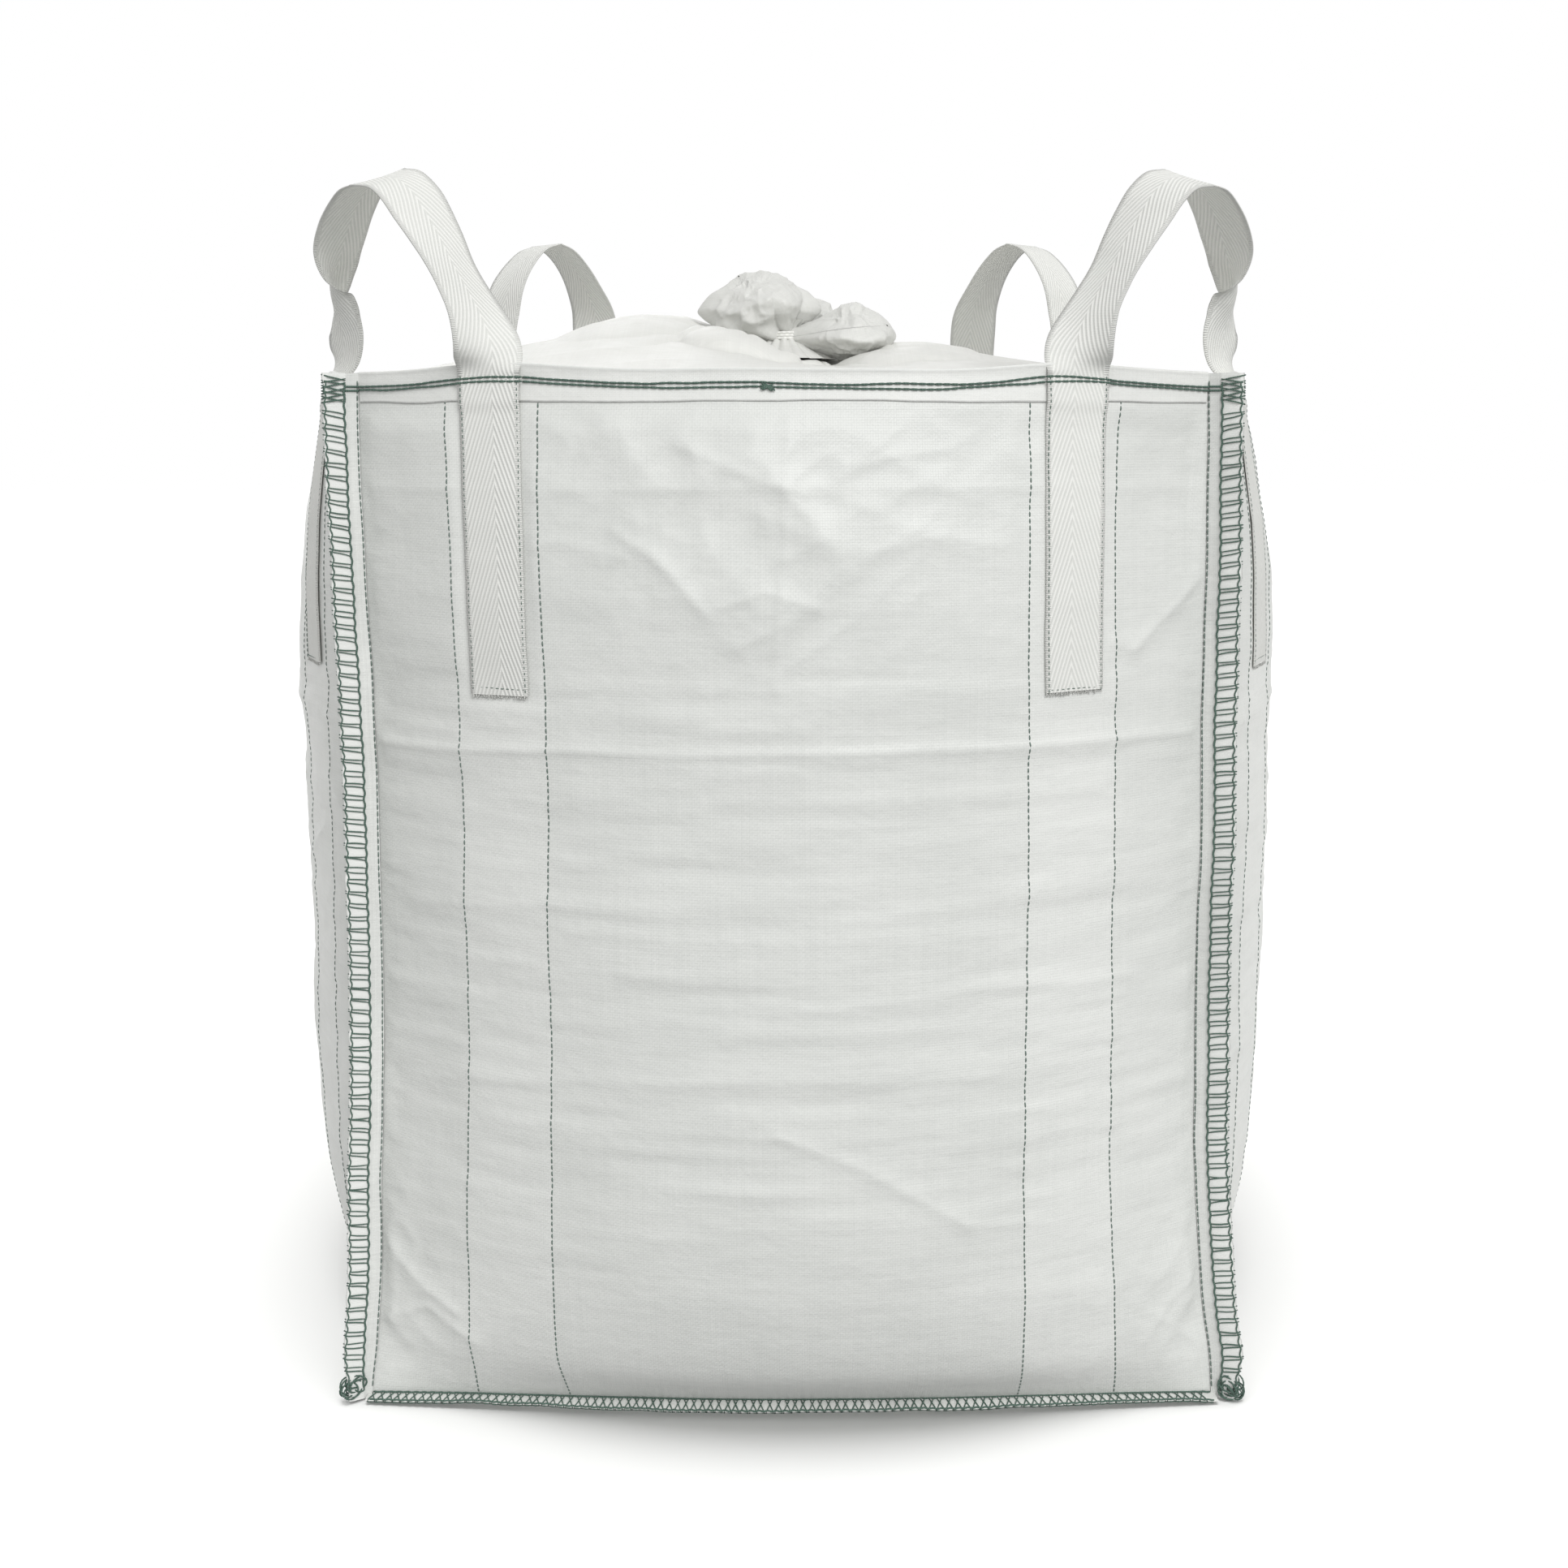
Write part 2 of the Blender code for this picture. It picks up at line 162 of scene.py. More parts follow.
def crease(s, z, path, height, width):
    """A sharp crease along a path of (s, z) points."""
    nearest = np.full(np.shape(s), 9.0)
    for (s0, z0), (s1, z1) in zip(path, path[1:]):
        ds, dz = s1 - s0, z1 - z0
        t = np.clip(((s - s0) * ds + (z - z0) * dz) / (ds * ds + dz * dz), 0, 1)
        nearest = np.minimum(nearest, np.hypot(s - s0 - t * ds, z - z0 - t * dz))
    return height * np.exp(-nearest / width)


def patch(s, z, at_s, at_z, wide, tall):
    return np.exp(-((s - at_s) / wide) ** 2 - ((z - at_z) / tall) ** 2)


FRONT_CREASES = (
    (((-0.455, 0.686), (-0.33, 0.69), (-0.208, 0.697), (-0.1, 0.696), (0.0, 0.699), (0.14, 0.701),
      (0.234, 0.7), (0.35, 0.699), (0.45, 0.696)), 0.0034, 0.007),
    (((-0.435, 0.942), (-0.23, 0.941), (0.0, 0.946), (0.25, 0.944), (0.44, 0.942)), 0.0016, 0.007),
    (((-0.43, 0.345), (-0.2, 0.377), (0.0, 0.389), (0.2, 0.382)), 0.0012, 0.009),
    (((-0.01, 0.335), (0.072, 0.302), (0.176, 0.237)), 0.0026, 0.008),
    (((0.176, 0.237), (0.26, 0.225)), 0.0014, 0.01),
    (((0.455, 0.855), (0.405, 0.818), (0.361, 0.786)), 0.0036, 0.01),
    (((0.361, 0.786), (0.33, 0.795)), 0.002, 0.012),
    (((-0.16, 0.905), (-0.11, 0.87), (-0.075, 0.83)), 0.003, 0.008),
    (((-0.1, 0.985), (-0.03, 0.955), (0.02, 0.94)), 0.0026, 0.008),
    (((-0.06, 0.835), (-0.02, 0.85), (0.03, 0.835)), 0.0022, 0.007),
    (((-0.04, 0.8), (0.0, 0.82), (0.05, 0.87)), 0.0022, 0.008),
    (((0.05, 0.955), (0.1, 0.975), (0.16, 0.98)), 0.0024, 0.008),
    (((0.005, 1.02), (0.0, 0.9), (-0.01, 0.76)), 0.0014, 0.005),
    (((-0.3, 0.87), (-0.22, 0.895), (-0.15, 0.88)), 0.0018, 0.009),
    (((0.08, 0.885), (0.14, 0.9), (0.21, 0.89)), 0.0018, 0.009),
    (((-0.4, 0.53), (-0.25, 0.545), (-0.06, 0.54)), 0.0014, 0.009),
    (((0.02, 0.455), (0.18, 0.47), (0.36, 0.462)), 0.0013, 0.009),
    (((-0.45, 0.175), (-0.4, 0.135), (-0.35, 0.11)), 0.004, 0.01),
    (((-0.44, 0.085), (-0.385, 0.11), (-0.33, 0.08)), 0.003, 0.009),
    (((0.45, 0.14), (0.4, 0.11), (0.37, 0.075)), 0.0026, 0.01),
)


def relief(side, s, z):
    """How far the cloth of a side stands out from its smooth arc."""
    s, z = np.broadcast_arrays(np.asarray(s, float), np.asarray(z, float))
    _, _, radius, half = arc(z)
    from_seam = np.maximum(radius * half - np.abs(s), 0.0)
    seed = 100 * side
    low_edge = ease(z, 0.0, 0.1)
    out = 0.0034 * noise(seed + 1, s, z, 0.26, 0.3) + 0.0018 * noise(seed + 2, s, z, 0.12, 0.1)
    body = ease(z, 0.05, 0.3) * (1 - ease(z, 0.72, 0.9))
    out = out + body * (0.001 * noise(seed + 3, s, z, 0.17, 0.024)
                        + 0.00065 * noise(seed + 4, s, z, 0.085, 0.013))
    out = out + (0.35 + 0.65 * body) * 0.00022 * noise(seed + 5, s, z, 0.05, 0.007)
    high = ease(z, 0.7, 0.86)
    soft = 0.0046 * creased(seed + 6, s, z, 0.105, 35) + 0.0024 * creased(seed + 7, s, z, 0.052, -25, 1.6)
    fine = 0.0024 * creased(seed + 8, s, z, 0.026, 40, 1.8)
    if side == 0:
        upper = patch(s, z, -0.02, 0.9, 0.13, 0.11) + 0.5 * patch(s, z, 0.14, 0.97, 0.16, 0.05)
        upper = upper + 0.5 * patch(s, z, -0.16, 0.98, 0.08, 0.05)
        out = out + (0.3 * high + 1.25 * upper) * soft + (0.08 + 1.5 * upper) * fine
        out = out - 0.006 * patch(s, z, 0.4, 0.93, 0.07, 0.1) - 0.003 * patch(s, z, 0.4, 0.79, 0.06, 0.05)
        out = out - 0.004 * patch(s, z, -0.1, 0.93, 0.05, 0.06) + 0.003 * patch(s, z, 0.02, 0.99, 0.2, 0.04)
        for path, height, width in FRONT_CREASES:
            out = out + crease(s, z, path, height, width)
    else:
        middle = 0.05 * (side - 2)
        out = out + (0.35 * high + 0.7 * patch(s, z, middle, 0.86, 0.15, 0.12)) * soft
        out = out + (0.06 + 0.6 * patch(s, z, -middle, 0.84, 0.14, 0.12)) * fine
        pick = np.random.default_rng(seed + 9)
        across = ((-0.45, 0.69), (-0.2, 0.7), (0.05, 0.695), (0.25, 0.7), (0.45, 0.692))
        out = out + crease(s, z, across, 0.0026, 0.007)
        for _ in range(11):
            s0, z0, turn = pick.uniform(-0.38, 0.38), pick.uniform(0.12, 0.95), pick.uniform(-0.7, 0.7)
            length, tall = pick.uniform(0.06, 0.15), pick.uniform(0.001, 0.0026)
            bend = pick.uniform(-0.02, 0.02)
            run, rise = length * math.cos(turn), length * math.sin(turn)
            out = out + crease(s, z, ((s0, z0), (s0 + run / 2, z0 + rise / 2 + bend), (s0 + run, z0 + rise)),
                               tall, 0.009)
    low_corner = np.exp(-from_seam / 0.07) * (1 - ease(z, 0.12, 0.3))
    out = out + low_corner * (0.0085 * creased(seed + 10, s, z, 0.062, 50, 1.5)
                              + 0.0038 * creased(seed + 11, s, z, 0.03, -40, 1.4))
    out = out + np.exp(-from_seam / 0.03) * (0.0017 * noise(seed + 12, s, z, 0.05, 0.02)
                                             + 0.0008 * noise(seed + 13, s, z, 0.03, 0.009))
    below_hem = np.maximum(RIM - HEM - z, 0.0)
    out = out + np.exp(-below_hem / 0.05) * (z < RIM - HEM) * 0.0014 * noise(seed + 14, s, z, 0.03, 0.11)
    for sign in (-1, 1):
        beside = np.abs(np.abs(s - sign * LEG_S) - MARKER)
        out = out + np.exp(-beside / 0.012) * body * 0.0007 * noise(seed + 15 + sign, s, z, 0.02, 0.011)
        on_leg = (1 - ease(np.abs(s - sign * LEG_S), 0.03, 0.05)) * ease(z, LEG_LOW - 0.015, LEG_LOW)
        out = out * (1 - 0.75 * on_leg) - 0.001 * on_leg
    near_rim = ease(z, RIM - 0.055, RIM - 0.028)
    out = out * (1 - 0.82 * near_rim)
    return out * ease(from_seam, 0.0, 0.022) * (0.25 + 0.75 * low_edge)


def corner_drift(corner, z):
    """How far a corner seam wanders from its place, in x and y."""
    middle = ease(z, 0.05, 0.4) * (1 - ease(z, 0.62, 1.0))
    outward = math.radians(225 + 90 * corner)
    wander = 0.0022 * along(700 + corner, z, 0.16) + 0.001 * along(710 + corner, z, 0.06)
    wander = wander * ease(z, 0.0, 0.06)
    low = 1 - ease(z, 0.0, 0.45)
    shift = ((0.0085, 0.003, 0.0, 0.0)[corner] * middle
             + (0.012, 0.004, 0.0, 0.0)[corner] * low * (1 - middle))
    return wander * math.cos(outward) + shift, wander * math.sin(outward)


def place(side, s, z, offset=0.0, rough=True):
    """Points on the cloth of a side, s along it from its middle, standing off by an offset."""
    s, z, offset = np.broadcast_arrays(*(np.asarray(v, float) for v in (s, z, offset)))
    corner, bulge, radius, half = arc(z)
    reach = radius + offset + (relief(side, s, z) if rough else 0.0)
    angle = s / radius
    x, y = reach * np.sin(angle), -(corner + bulge - radius) - reach * np.cos(angle)
    x, y = rotated(x, y, 90 * side)
    u = np.clip(s / (radius * half), -1, 1)
    low, high = corner_drift(side, z), corner_drift((side + 1) % 4, z)
    share_low, share_high = ease(-u, -0.35, 1.0), ease(u, -0.35, 1.0)
    return stacked(x + low[0] * share_low + high[0] * share_high,
                     y + low[1] * share_low + high[1] * share_high, z)


def outward(side, s, z):
    """Unit vectors out of the cloth, level with the floor."""
    s, z = np.broadcast_arrays(np.asarray(s, float), np.asarray(z, float))
    angle = s / arc(z)[2]
    x, y = rotated(np.sin(angle), -np.cos(angle), 90 * side)
    return stacked(x, y, 0.0)


def rim_rise(side, s):
    """The rim stands a little higher where the webbing draws it up."""
    pull = np.exp(-((np.abs(s) - 0.275) / 0.085) ** 2)
    return 0.0035 + 0.0075 * pull + 0.0012 * along(800 + side, s, 0.11)


def seam_lift(u):
    return SEAM_LIFT * (1 - u * u)


# ---- building blocks ---------------------------------------------------------------------------

def grid_quads(rows, columns, wrap=False):
    index = np.arange(rows * columns).reshape(rows, columns)
    nxt = np.roll(index, -1, axis=1)
    a, b = (index, nxt) if wrap else (index[:, :-1], index[:, 1:])
    return stacked(a[:-1], b[:-1], b[1:], a[1:]).reshape(-1, 4)


def stacked(*values):
    """Values side by side along a new last axis."""
    return np.stack(np.broadcast_arrays(*values), axis=-1)


def sheet_of(points, uv, wrap=False):
    """A grid of points (rows, columns, 3) as a part: points, quads and UVs."""
    rows, columns = points.shape[:2]
    return points.reshape(-1, 3), grid_quads(rows, columns, wrap), uv.reshape(-1, 2)


def tubes(paths, radius, normal, flat=1.0):
    """Tubes along paths (count, points, 3), with ends that taper. normal points out of the cloth."""
    paths = np.asarray(paths, float)
    if paths.ndim == 2:
        paths = paths[None]
    count, steps = paths.shape[:2]
    run = np.gradient(paths, axis=1)
    run /= np.linalg.norm(run, axis=-1, keepdims=True) + 1e-12
    up = np.broadcast_to(np.asarray(normal, float), paths.shape).copy()
    up -= (up * run).sum(-1, keepdims=True) * run
    up /= np.linalg.norm(up, axis=-1, keepdims=True) + 1e-12
    beside = np.cross(run, up)
    size = np.ones(steps)
    size[0] = size[-1] = 0.6
    size = size[None, :, None, None] * (radius if np.ndim(radius) == 0
                                        else np.asarray(radius)[:, None, None, None])
    turn = np.arange(TUBE_SIDES) * 2 * math.pi / TUBE_SIDES
    ring = np.cos(turn)[:, None] * beside[:, :, None, :] + flat * np.sin(turn)[:, None] * up[:, :, None, :]
    points = paths[:, :, None, :] + size * ring
    last = (steps - 1) * TUBE_SIDES
    caps = [[3, 2, 1, 0], [5, 4, 3, 0], [last, last + 1, last + 2, last + 3],
            [last, last + 3, last + 4, last + 5]]
    one = np.concatenate((grid_quads(steps, TUBE_SIDES, wrap=True), caps))
    quads = (one[None] + (np.arange(count) * steps * TUBE_SIDES)[:, None, None]).reshape(-1, 4)
    lengths = np.linalg.norm(np.diff(paths, axis=1), axis=-1)
    run_at = np.concatenate((np.zeros((count, 1)), np.cumsum(lengths, axis=1)), axis=1)
    uv = stacked(np.broadcast_to(np.arange(TUBE_SIDES) / TUBE_SIDES, (count, steps, TUBE_SIDES)),
                 run_at[:, :, None])
    return points.reshape(-1, 3), quads, uv.reshape(-1, 2)


def piece(name, parts, material, body="bag"):
    """One object from parts, which are points, quads and UVs."""
    points, quads, uv, start = [], [], [], 0
    for p, q, t in parts:
        points.append(p)
        quads.append(q + start)
        uv.append(t)
        start += len(p)
    points, quads, uv = np.concatenate(points), np.concatenate(quads), np.concatenate(uv)
    mesh = bpy.data.meshes.new(name)
    mesh.vertices.add(len(points))
    mesh.vertices.foreach_set("co", points.astype(np.float32).ravel())
    mesh.loops.add(quads.size)
    mesh.loops.foreach_set("vertex_index", quads.astype(np.int32).ravel())
    mesh.polygons.add(len(quads))
    mesh.polygons.foreach_set("loop_start", np.arange(0, quads.size, 4, dtype=np.int32))
    mesh.update(calc_edges=True)
    layer = mesh.uv_layers.new(name="cloth")
    layer.data.foreach_set("uv", uv[quads.ravel()].astype(np.float32).ravel())
    mesh.materials.append(material)
    mesh.shade_smooth()
    made = bpy.data.objects.new(name, mesh)
    bpy.context.scene.collection.objects.link(made)
    if body:
        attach(made, body)
    return made


# ---- materials ---------------------------------------------------------------------------------

class Shader:
    """A node material; its methods add nodes and return their outputs."""

    def __init__(self, name, roughness, specular=0.4, sheen=0.0):
        self.material = bpy.data.materials.new(name)
        self.material.use_nodes = True
        self.tree = self.material.node_tree
        self.surface = self.tree.nodes["Principled BSDF"]
        self.surface.inputs["Roughness"].default_value = roughness
        self.surface.inputs["Specular IOR Level"].default_value = specular
        self.surface.inputs["Sheen Weight"].default_value = sheen
        self.uv = self.node("ShaderNodeTexCoord", {}).outputs["UV"]

    def node(self, kind, inputs, **settings):
        made = self.tree.nodes.new(kind)
        for key, value in settings.items():
            setattr(made, key, value)
        for key, value in inputs.items():
            if isinstance(value, bpy.types.NodeSocket):
                self.tree.links.new(value, made.inputs[key])
            else:
                made.inputs[key].default_value = value
        return made

    def math(self, operation, a, b=0.0, c=0.0):
        return self.node("ShaderNodeMath", {0: a, 1: b, 2: c}, operation=operation).outputs[0]

    def add(self, a, b):
        return self.math("ADD", a, b)

    def times(self, a, b):
        return self.math("MULTIPLY", a, b)

    def weigh(self, first, *others):
        """The sum of values times their weights."""
        total = self.times(*first)
        for value, weight in others:
            total = self.add(total, self.times(value, weight))
        return total

    def ripple(self, value):
        """A wave from 0 to 1."""
        return self.math("MULTIPLY_ADD", self.math("SINE", value), 0.5, 0.5)

    def split(self, vector):
        return self.node("ShaderNodeSeparateXYZ", {0: vector}).outputs

    def scaled(self, x, y):
        """The UV stretched by x and y."""
        return self.node("ShaderNodeMapping", {"Vector": self.uv, "Scale": (x, y, 1.0)}).outputs[0]

    def noise(self, x, y, detail=2.0, rough=0.5):
        found = self.node("ShaderNodeTexNoise",
                          {"Vector": self.scaled(x, y), "Scale": 1.0, "Detail": detail, "Roughness": rough})
        return found.outputs["Fac"]

    def remap(self, value, low, high, to_low, to_high):
        found = self.node("ShaderNodeMapRange", {"Value": value, "From Min": low, "From Max": high,
                                                 "To Min": to_low, "To Max": to_high})
        return found.outputs[0]

    def tint(self, value, dark, light):
        mixed = self.node("ShaderNodeMix", {"Factor": value}, data_type="RGBA")
        mixed.inputs["A"].default_value = (*dark, 1.0)
        mixed.inputs["B"].default_value = (*light, 1.0)
        return mixed.outputs["Result"]

    def finish(self, colour, roughness=None, height=None, distance=0.001, strength=1.0):
        self.tree.links.new(colour, self.surface.inputs["Base Color"])
        if roughness is not None:
            self.tree.links.new(roughness, self.surface.inputs["Roughness"])
        if height is not None:
            bump = self.node("ShaderNodeBump",
                             {"Height": height, "Distance": distance, "Strength": strength})
            self.tree.links.new(bump.outputs[0], self.surface.inputs["Normal"])
        return self.material


def tape_cloth(name, dark, light, tape=0.0025, depth=0.00016, roughness=0.43, bands=False, edge_from=0.0):
    """Cloth woven plain from flat polymer tapes, over and under, with streaks along single tapes."""
    m = Shader(name, roughness, 0.35)
    axes = m.split(m.uv)
    fu, fv = m.math("DIVIDE", axes[0], tape), m.math("DIVIDE", axes[1], tape)
    both = m.add(m.math("FLOOR", fu), m.math("FLOOR", fv))
    over = m.math("FLOORED_MODULO", both, 2.0)
    warp = m.math("ABSOLUTE", m.math("SINE", m.times(fu, math.pi)))
    weft = m.math("ABSOLUTE", m.math("SINE", m.times(fv, math.pi)))
    crown = m.node("ShaderNodeMix", {"Factor": over, "A": m.math("POWER", warp, 0.45),
                                     "B": m.math("POWER", weft, 0.45)}).outputs[0]
    streak_up = m.noise(420.0, 5.0, 1.0)
    streak_over = m.noise(5.0, 420.0, 1.0)
    cloud = m.noise(5.0, 5.0, 4.0, 0.55)
    speck = m.noise(60.0, 60.0, 3.0, 0.6)
    value = m.weigh((streak_up, 0.3), (streak_over, 0.3), (cloud, 0.75), (speck, 0.25), (crown, 0.22))
    if bands:
        from_leg = m.math("ABSOLUTE", m.math("SUBTRACT", m.math("ABSOLUTE", axes[0]), LEG_S))
        band = m.remap(from_leg, MARKER - 0.001, MARKER + 0.001, 0.16, 0.0)
        value = m.add(value, band)
    if edge_from:
        out_by = m.math("FLOORED_MODULO", axes[0], 0.05)
        value = m.add(value, m.remap(out_by, edge_from - 0.002, edge_from + 0.002, 0.0, 0.8))
    colour = m.tint(m.remap(value, 0.55, 1.25, 0.0, 1.0), dark, light)
    rough = m.remap(speck, 0.3, 0.7, roughness - 0.07, roughness + 0.08)
    wrinkle = m.add(m.noise(22.0, 34.0, 4.0, 0.62), m.times(m.noise(70.0, 110.0, 3.0, 0.6), 0.3))
    height = m.weigh((crown, depth), (wrinkle, 0.0016), (streak_over, 0.0001))
    return m.finish(colour, rough, height, distance=1.0, strength=0.9)


def webbing_cloth():
    """Herringbone webbing: steep ribs in two columns that meet in the middle, with a plain selvedge."""
    m = Shader("webbing_herringbone", 0.72, 0.25, 0.05)
    axes = m.split(m.uv)
    across = m.math("ABSOLUTE", m.math("SUBTRACT", axes[0], 0.004))
    rib = m.add(axes[1], m.times(across, 2.7))
    rib = m.times(rib, 2 * math.pi / 0.0118)
    rib = m.ripple(rib)
    edge = m.remap(m.math("ABSOLUTE", axes[0]), 0.0268, 0.0284, 0.0, 1.0)
    pick = m.ripple(m.times(axes[1], 2 * math.pi / 0.0017))
    body = m.node("ShaderNodeMix", {"Factor": edge, "A": rib, "B": pick}).outputs[0]
    fuzz = m.noise(500.0, 500.0, 2.0, 0.6)
    cloud = m.noise(14.0, 14.0, 3.0)
    value = m.weigh((body, 0.62), (fuzz, 0.45), (cloud, 0.35))
    colour = m.tint(m.remap(value, 0.15, 1.15, 0.0, 1.0), (0.58, 0.59, 0.56), (0.82, 0.82, 0.79))
    height = m.weigh((body, 0.0006), (fuzz, 0.00006), (pick, 0.00008))
    rough = m.remap(fuzz, 0.3, 0.7, 0.66, 0.8)
    return m.finish(colour, rough, height, distance=1.0, strength=0.9)


def spun_thread(name, dark, light, twist=0.0022):
    """Twisted thread: plies that wind round it, with loose fibre."""
    m = Shader(name, 0.7, 0.3, 0.1)
    axes = m.split(m.uv)
    ply = m.add(m.math("DIVIDE", axes[1], twist), axes[0])
    ply = m.ripple(m.times(ply, 2 * math.pi))
    fuzz = m.noise(9.0, 1400.0, 2.0, 0.6)
    drift = m.noise(2.0, 90.0, 3.0, 0.6)
    value = m.add(m.times(ply, 0.5), m.times(m.add(fuzz, drift), 0.5))
    colour = m.tint(m.remap(value, 0.2, 1.0, 0.0, 1.0), dark, light)
    height = m.add(m.times(ply, 0.00022), m.times(fuzz, 0.00008))
    rough = m.remap(fuzz, 0.3, 0.7, 0.62, 0.82)
    return m.finish(colour, rough, height, distance=1.0, strength=0.8)


panel_cloth = tape_cloth("panel_tape_cloth", (0.6, 0.615, 0.59), (0.72, 0.73, 0.705), bands=True)
hem_cloth = tape_cloth("hem_tape_cloth", (0.65, 0.66, 0.635), (0.77, 0.775, 0.75), tape=0.0018,
                       depth=0.00012)
top_cloth = tape_cloth("top_tape_cloth", (0.63, 0.635, 0.605), (0.74, 0.74, 0.71), tape=0.0016,
                       depth=0.00006, roughness=0.42)
seam_cloth = tape_cloth("seam_tape_cloth", (0.53, 0.54, 0.52), (0.78, 0.79, 0.765), tape=0.0018,
                        edge_from=LADDER)
spout_cloth = tape_cloth("spout_tape_cloth", (0.56, 0.565, 0.54), (0.69, 0.69, 0.665), tape=0.0016,
                         depth=0.00006, roughness=0.42)
webbing = webbing_cloth()
green_thread = spun_thread("green_thread", (0.03, 0.062, 0.046), (0.105, 0.165, 0.135))
pale_thread = spun_thread("grey_green_thread", (0.055, 0.09, 0.072), (0.17, 0.22, 0.195), 0.0016)
white_cord = spun_thread("white_cord", (0.62, 0.62, 0.59), (0.82, 0.82, 0.79), 0.006)


# ---- side cloths and base ----------------------------------------------------------------------

ACROSS, UP = 272, 312


def side_cloth(side):
    u = np.linspace(-1, 1, ACROSS + 1)[None, :]
    level = np.linspace(0, RIM, UP + 1)[:, None]
    fade = np.maximum(0.0, 1 - level / LIFT_FADE) ** 2
    z = level + seam_lift(u) * fade
    s_rim = u * CUT / 2
    z = z + rim_rise(side, s_rim) * ease(level, 0.86, RIM)
    _, _, radius, half = arc(z)
    s = u * radius * half
    points = place(side, s, z)
    made = piece(f"cloth_{SIDES[side]}", [sheet_of(points, stacked(s, z))],
                 panel_cloth)
    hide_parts(f"panel_{SIDES[side]}")
    return made


cloths = [side_cloth(side) for side in range(4)]


def base_cloth():
    """The base: rising to the seam at its edge, flat where it rests."""
    steps = 68
    edge = []
    for side in range(4):
        u = np.linspace(-1, 1, steps + 1)[:-1]
        z = seam_lift(u)
        _, _, radius, half = arc(z)
        edge.append(place(side, u * radius * half, z))
    edge = np.concatenate(edge)
    shares = np.concatenate((np.linspace(1.0, 0.7, 26), np.linspace(0.67, 0.03, 26)))
    rows = []
    for share in shares:
        rise = max(0.0, (share - 0.74) / 0.26) ** 1.8
        row = edge * share
        slack = 0.0016 * np.abs(noise(900, row[:, 0], row[:, 1], 0.05, 0.05)) * (rise > 0)
        row[:, 2] = edge[:, 2] * rise + 0.0004 + slack
        rows.append(row)
    points = np.array(rows)
    made = piece("cloth_base", [sheet_of(points, points[..., :2], wrap=True)], panel_cloth)
    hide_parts("base_panel")
    return made


base = base_cloth()


# ---- hem and its stitching ---------------------------------------------------------------------

def hem_offset(side, s, z):
    """How far the hem's outer face stands off the side cloth: its lower edge stands proud here and there."""
    low = 1 - ease(z, RIM - HEM, RIM - HEM + 0.01)
    return 0.0009 + low * (0.0001 * along(820 + side, s, 0.035, 0.3) - 0.0001)


def hem_band(side):
    u = np.linspace(-1, 1, 241)
    s = u * (arc(RIM)[2] * arc(RIM)[3] - 0.0008)
    rise = rim_rise(side, s)
    low = RIM - HEM + 0.001 * along(830 + side, s, 0.05, 0.4)
    rows, uvs = [], []
    for share in np.linspace(0, 1, 13):
        z = low + (RIM + rise - 0.0008 - low) * share
        rows.append(place(side, s, z, hem_offset(side, s, z)))
        uvs.append(stacked(s, z))
    for turn in (30, 60, 90, 120, 150):
        a = math.radians(turn)
        z = RIM + rise - 0.0008 + 0.003 * math.sin(a)
        rows.append(place(side, s, z, -0.0015 + 0.0035 * math.cos(a)))
        uvs.append(stacked(s, z + 0.002 * turn / 90))
    for drop in np.linspace(0, HEM, 8):
        z = RIM + rise - 0.0008 - drop
        rows.append(place(side, s, z, -0.005))
        uvs.append(stacked(s, RIM + 0.004 + drop))
    under = place(side, s, low + 0.0002, 0.0004)
    rows.insert(0, under)
    uvs.insert(0, stacked(s, low - 0.001))
    made = piece(f"hem_band_{SIDES[side]}", [sheet_of(np.array(rows), np.array(uvs))], hem_cloth)
    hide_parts(f"hem_{SIDES[side]}")
    return made


def web_offset(z):
    """How far the middle of the webbing stands off the side cloth."""
    return 0.0014 + 0.0022 * ease(z, RIM - HEM - 0.012, RIM - HEM + 0.002)


def proud(s, z):
    """Height of the outermost layer above the side cloth: hem and webbing."""
    on_hem = 0.0016 * (z > RIM - HEM)
    on_web = (np.abs(np.abs(s) - LEG_S) < WEBBING / 2 + 0.0005) & (z > LEG_LOW)
    return np.where(on_web, web_offset(z) + WEB_THICK / 2, on_hem)


def stitches(side, s_from, s_to, path_z, count, fill, radius, sink=0.0004):
    """A row of stitches: each rises out of the cloth and dives back in. path_z gives z along s."""
    part = np.linspace(0, 1, 5)
    starts = np.arange(count) / count
    t = starts[:, None] + part[None, :] * fill / count
    s = s_from + (s_to - s_from) * t
    z = path_z(s)
    lift = np.array((-sink, radius * 0.7, radius * 0.9, radius * 0.7, -sink))
    top = np.maximum.reduce([proud(s, z), np.roll(proud(s, z), 1, axis=1), np.roll(proud(s, z), -1, axis=1)])
    return tubes(place(side, s, z, top + lift[None, :]), radius, outward(side, s, z))


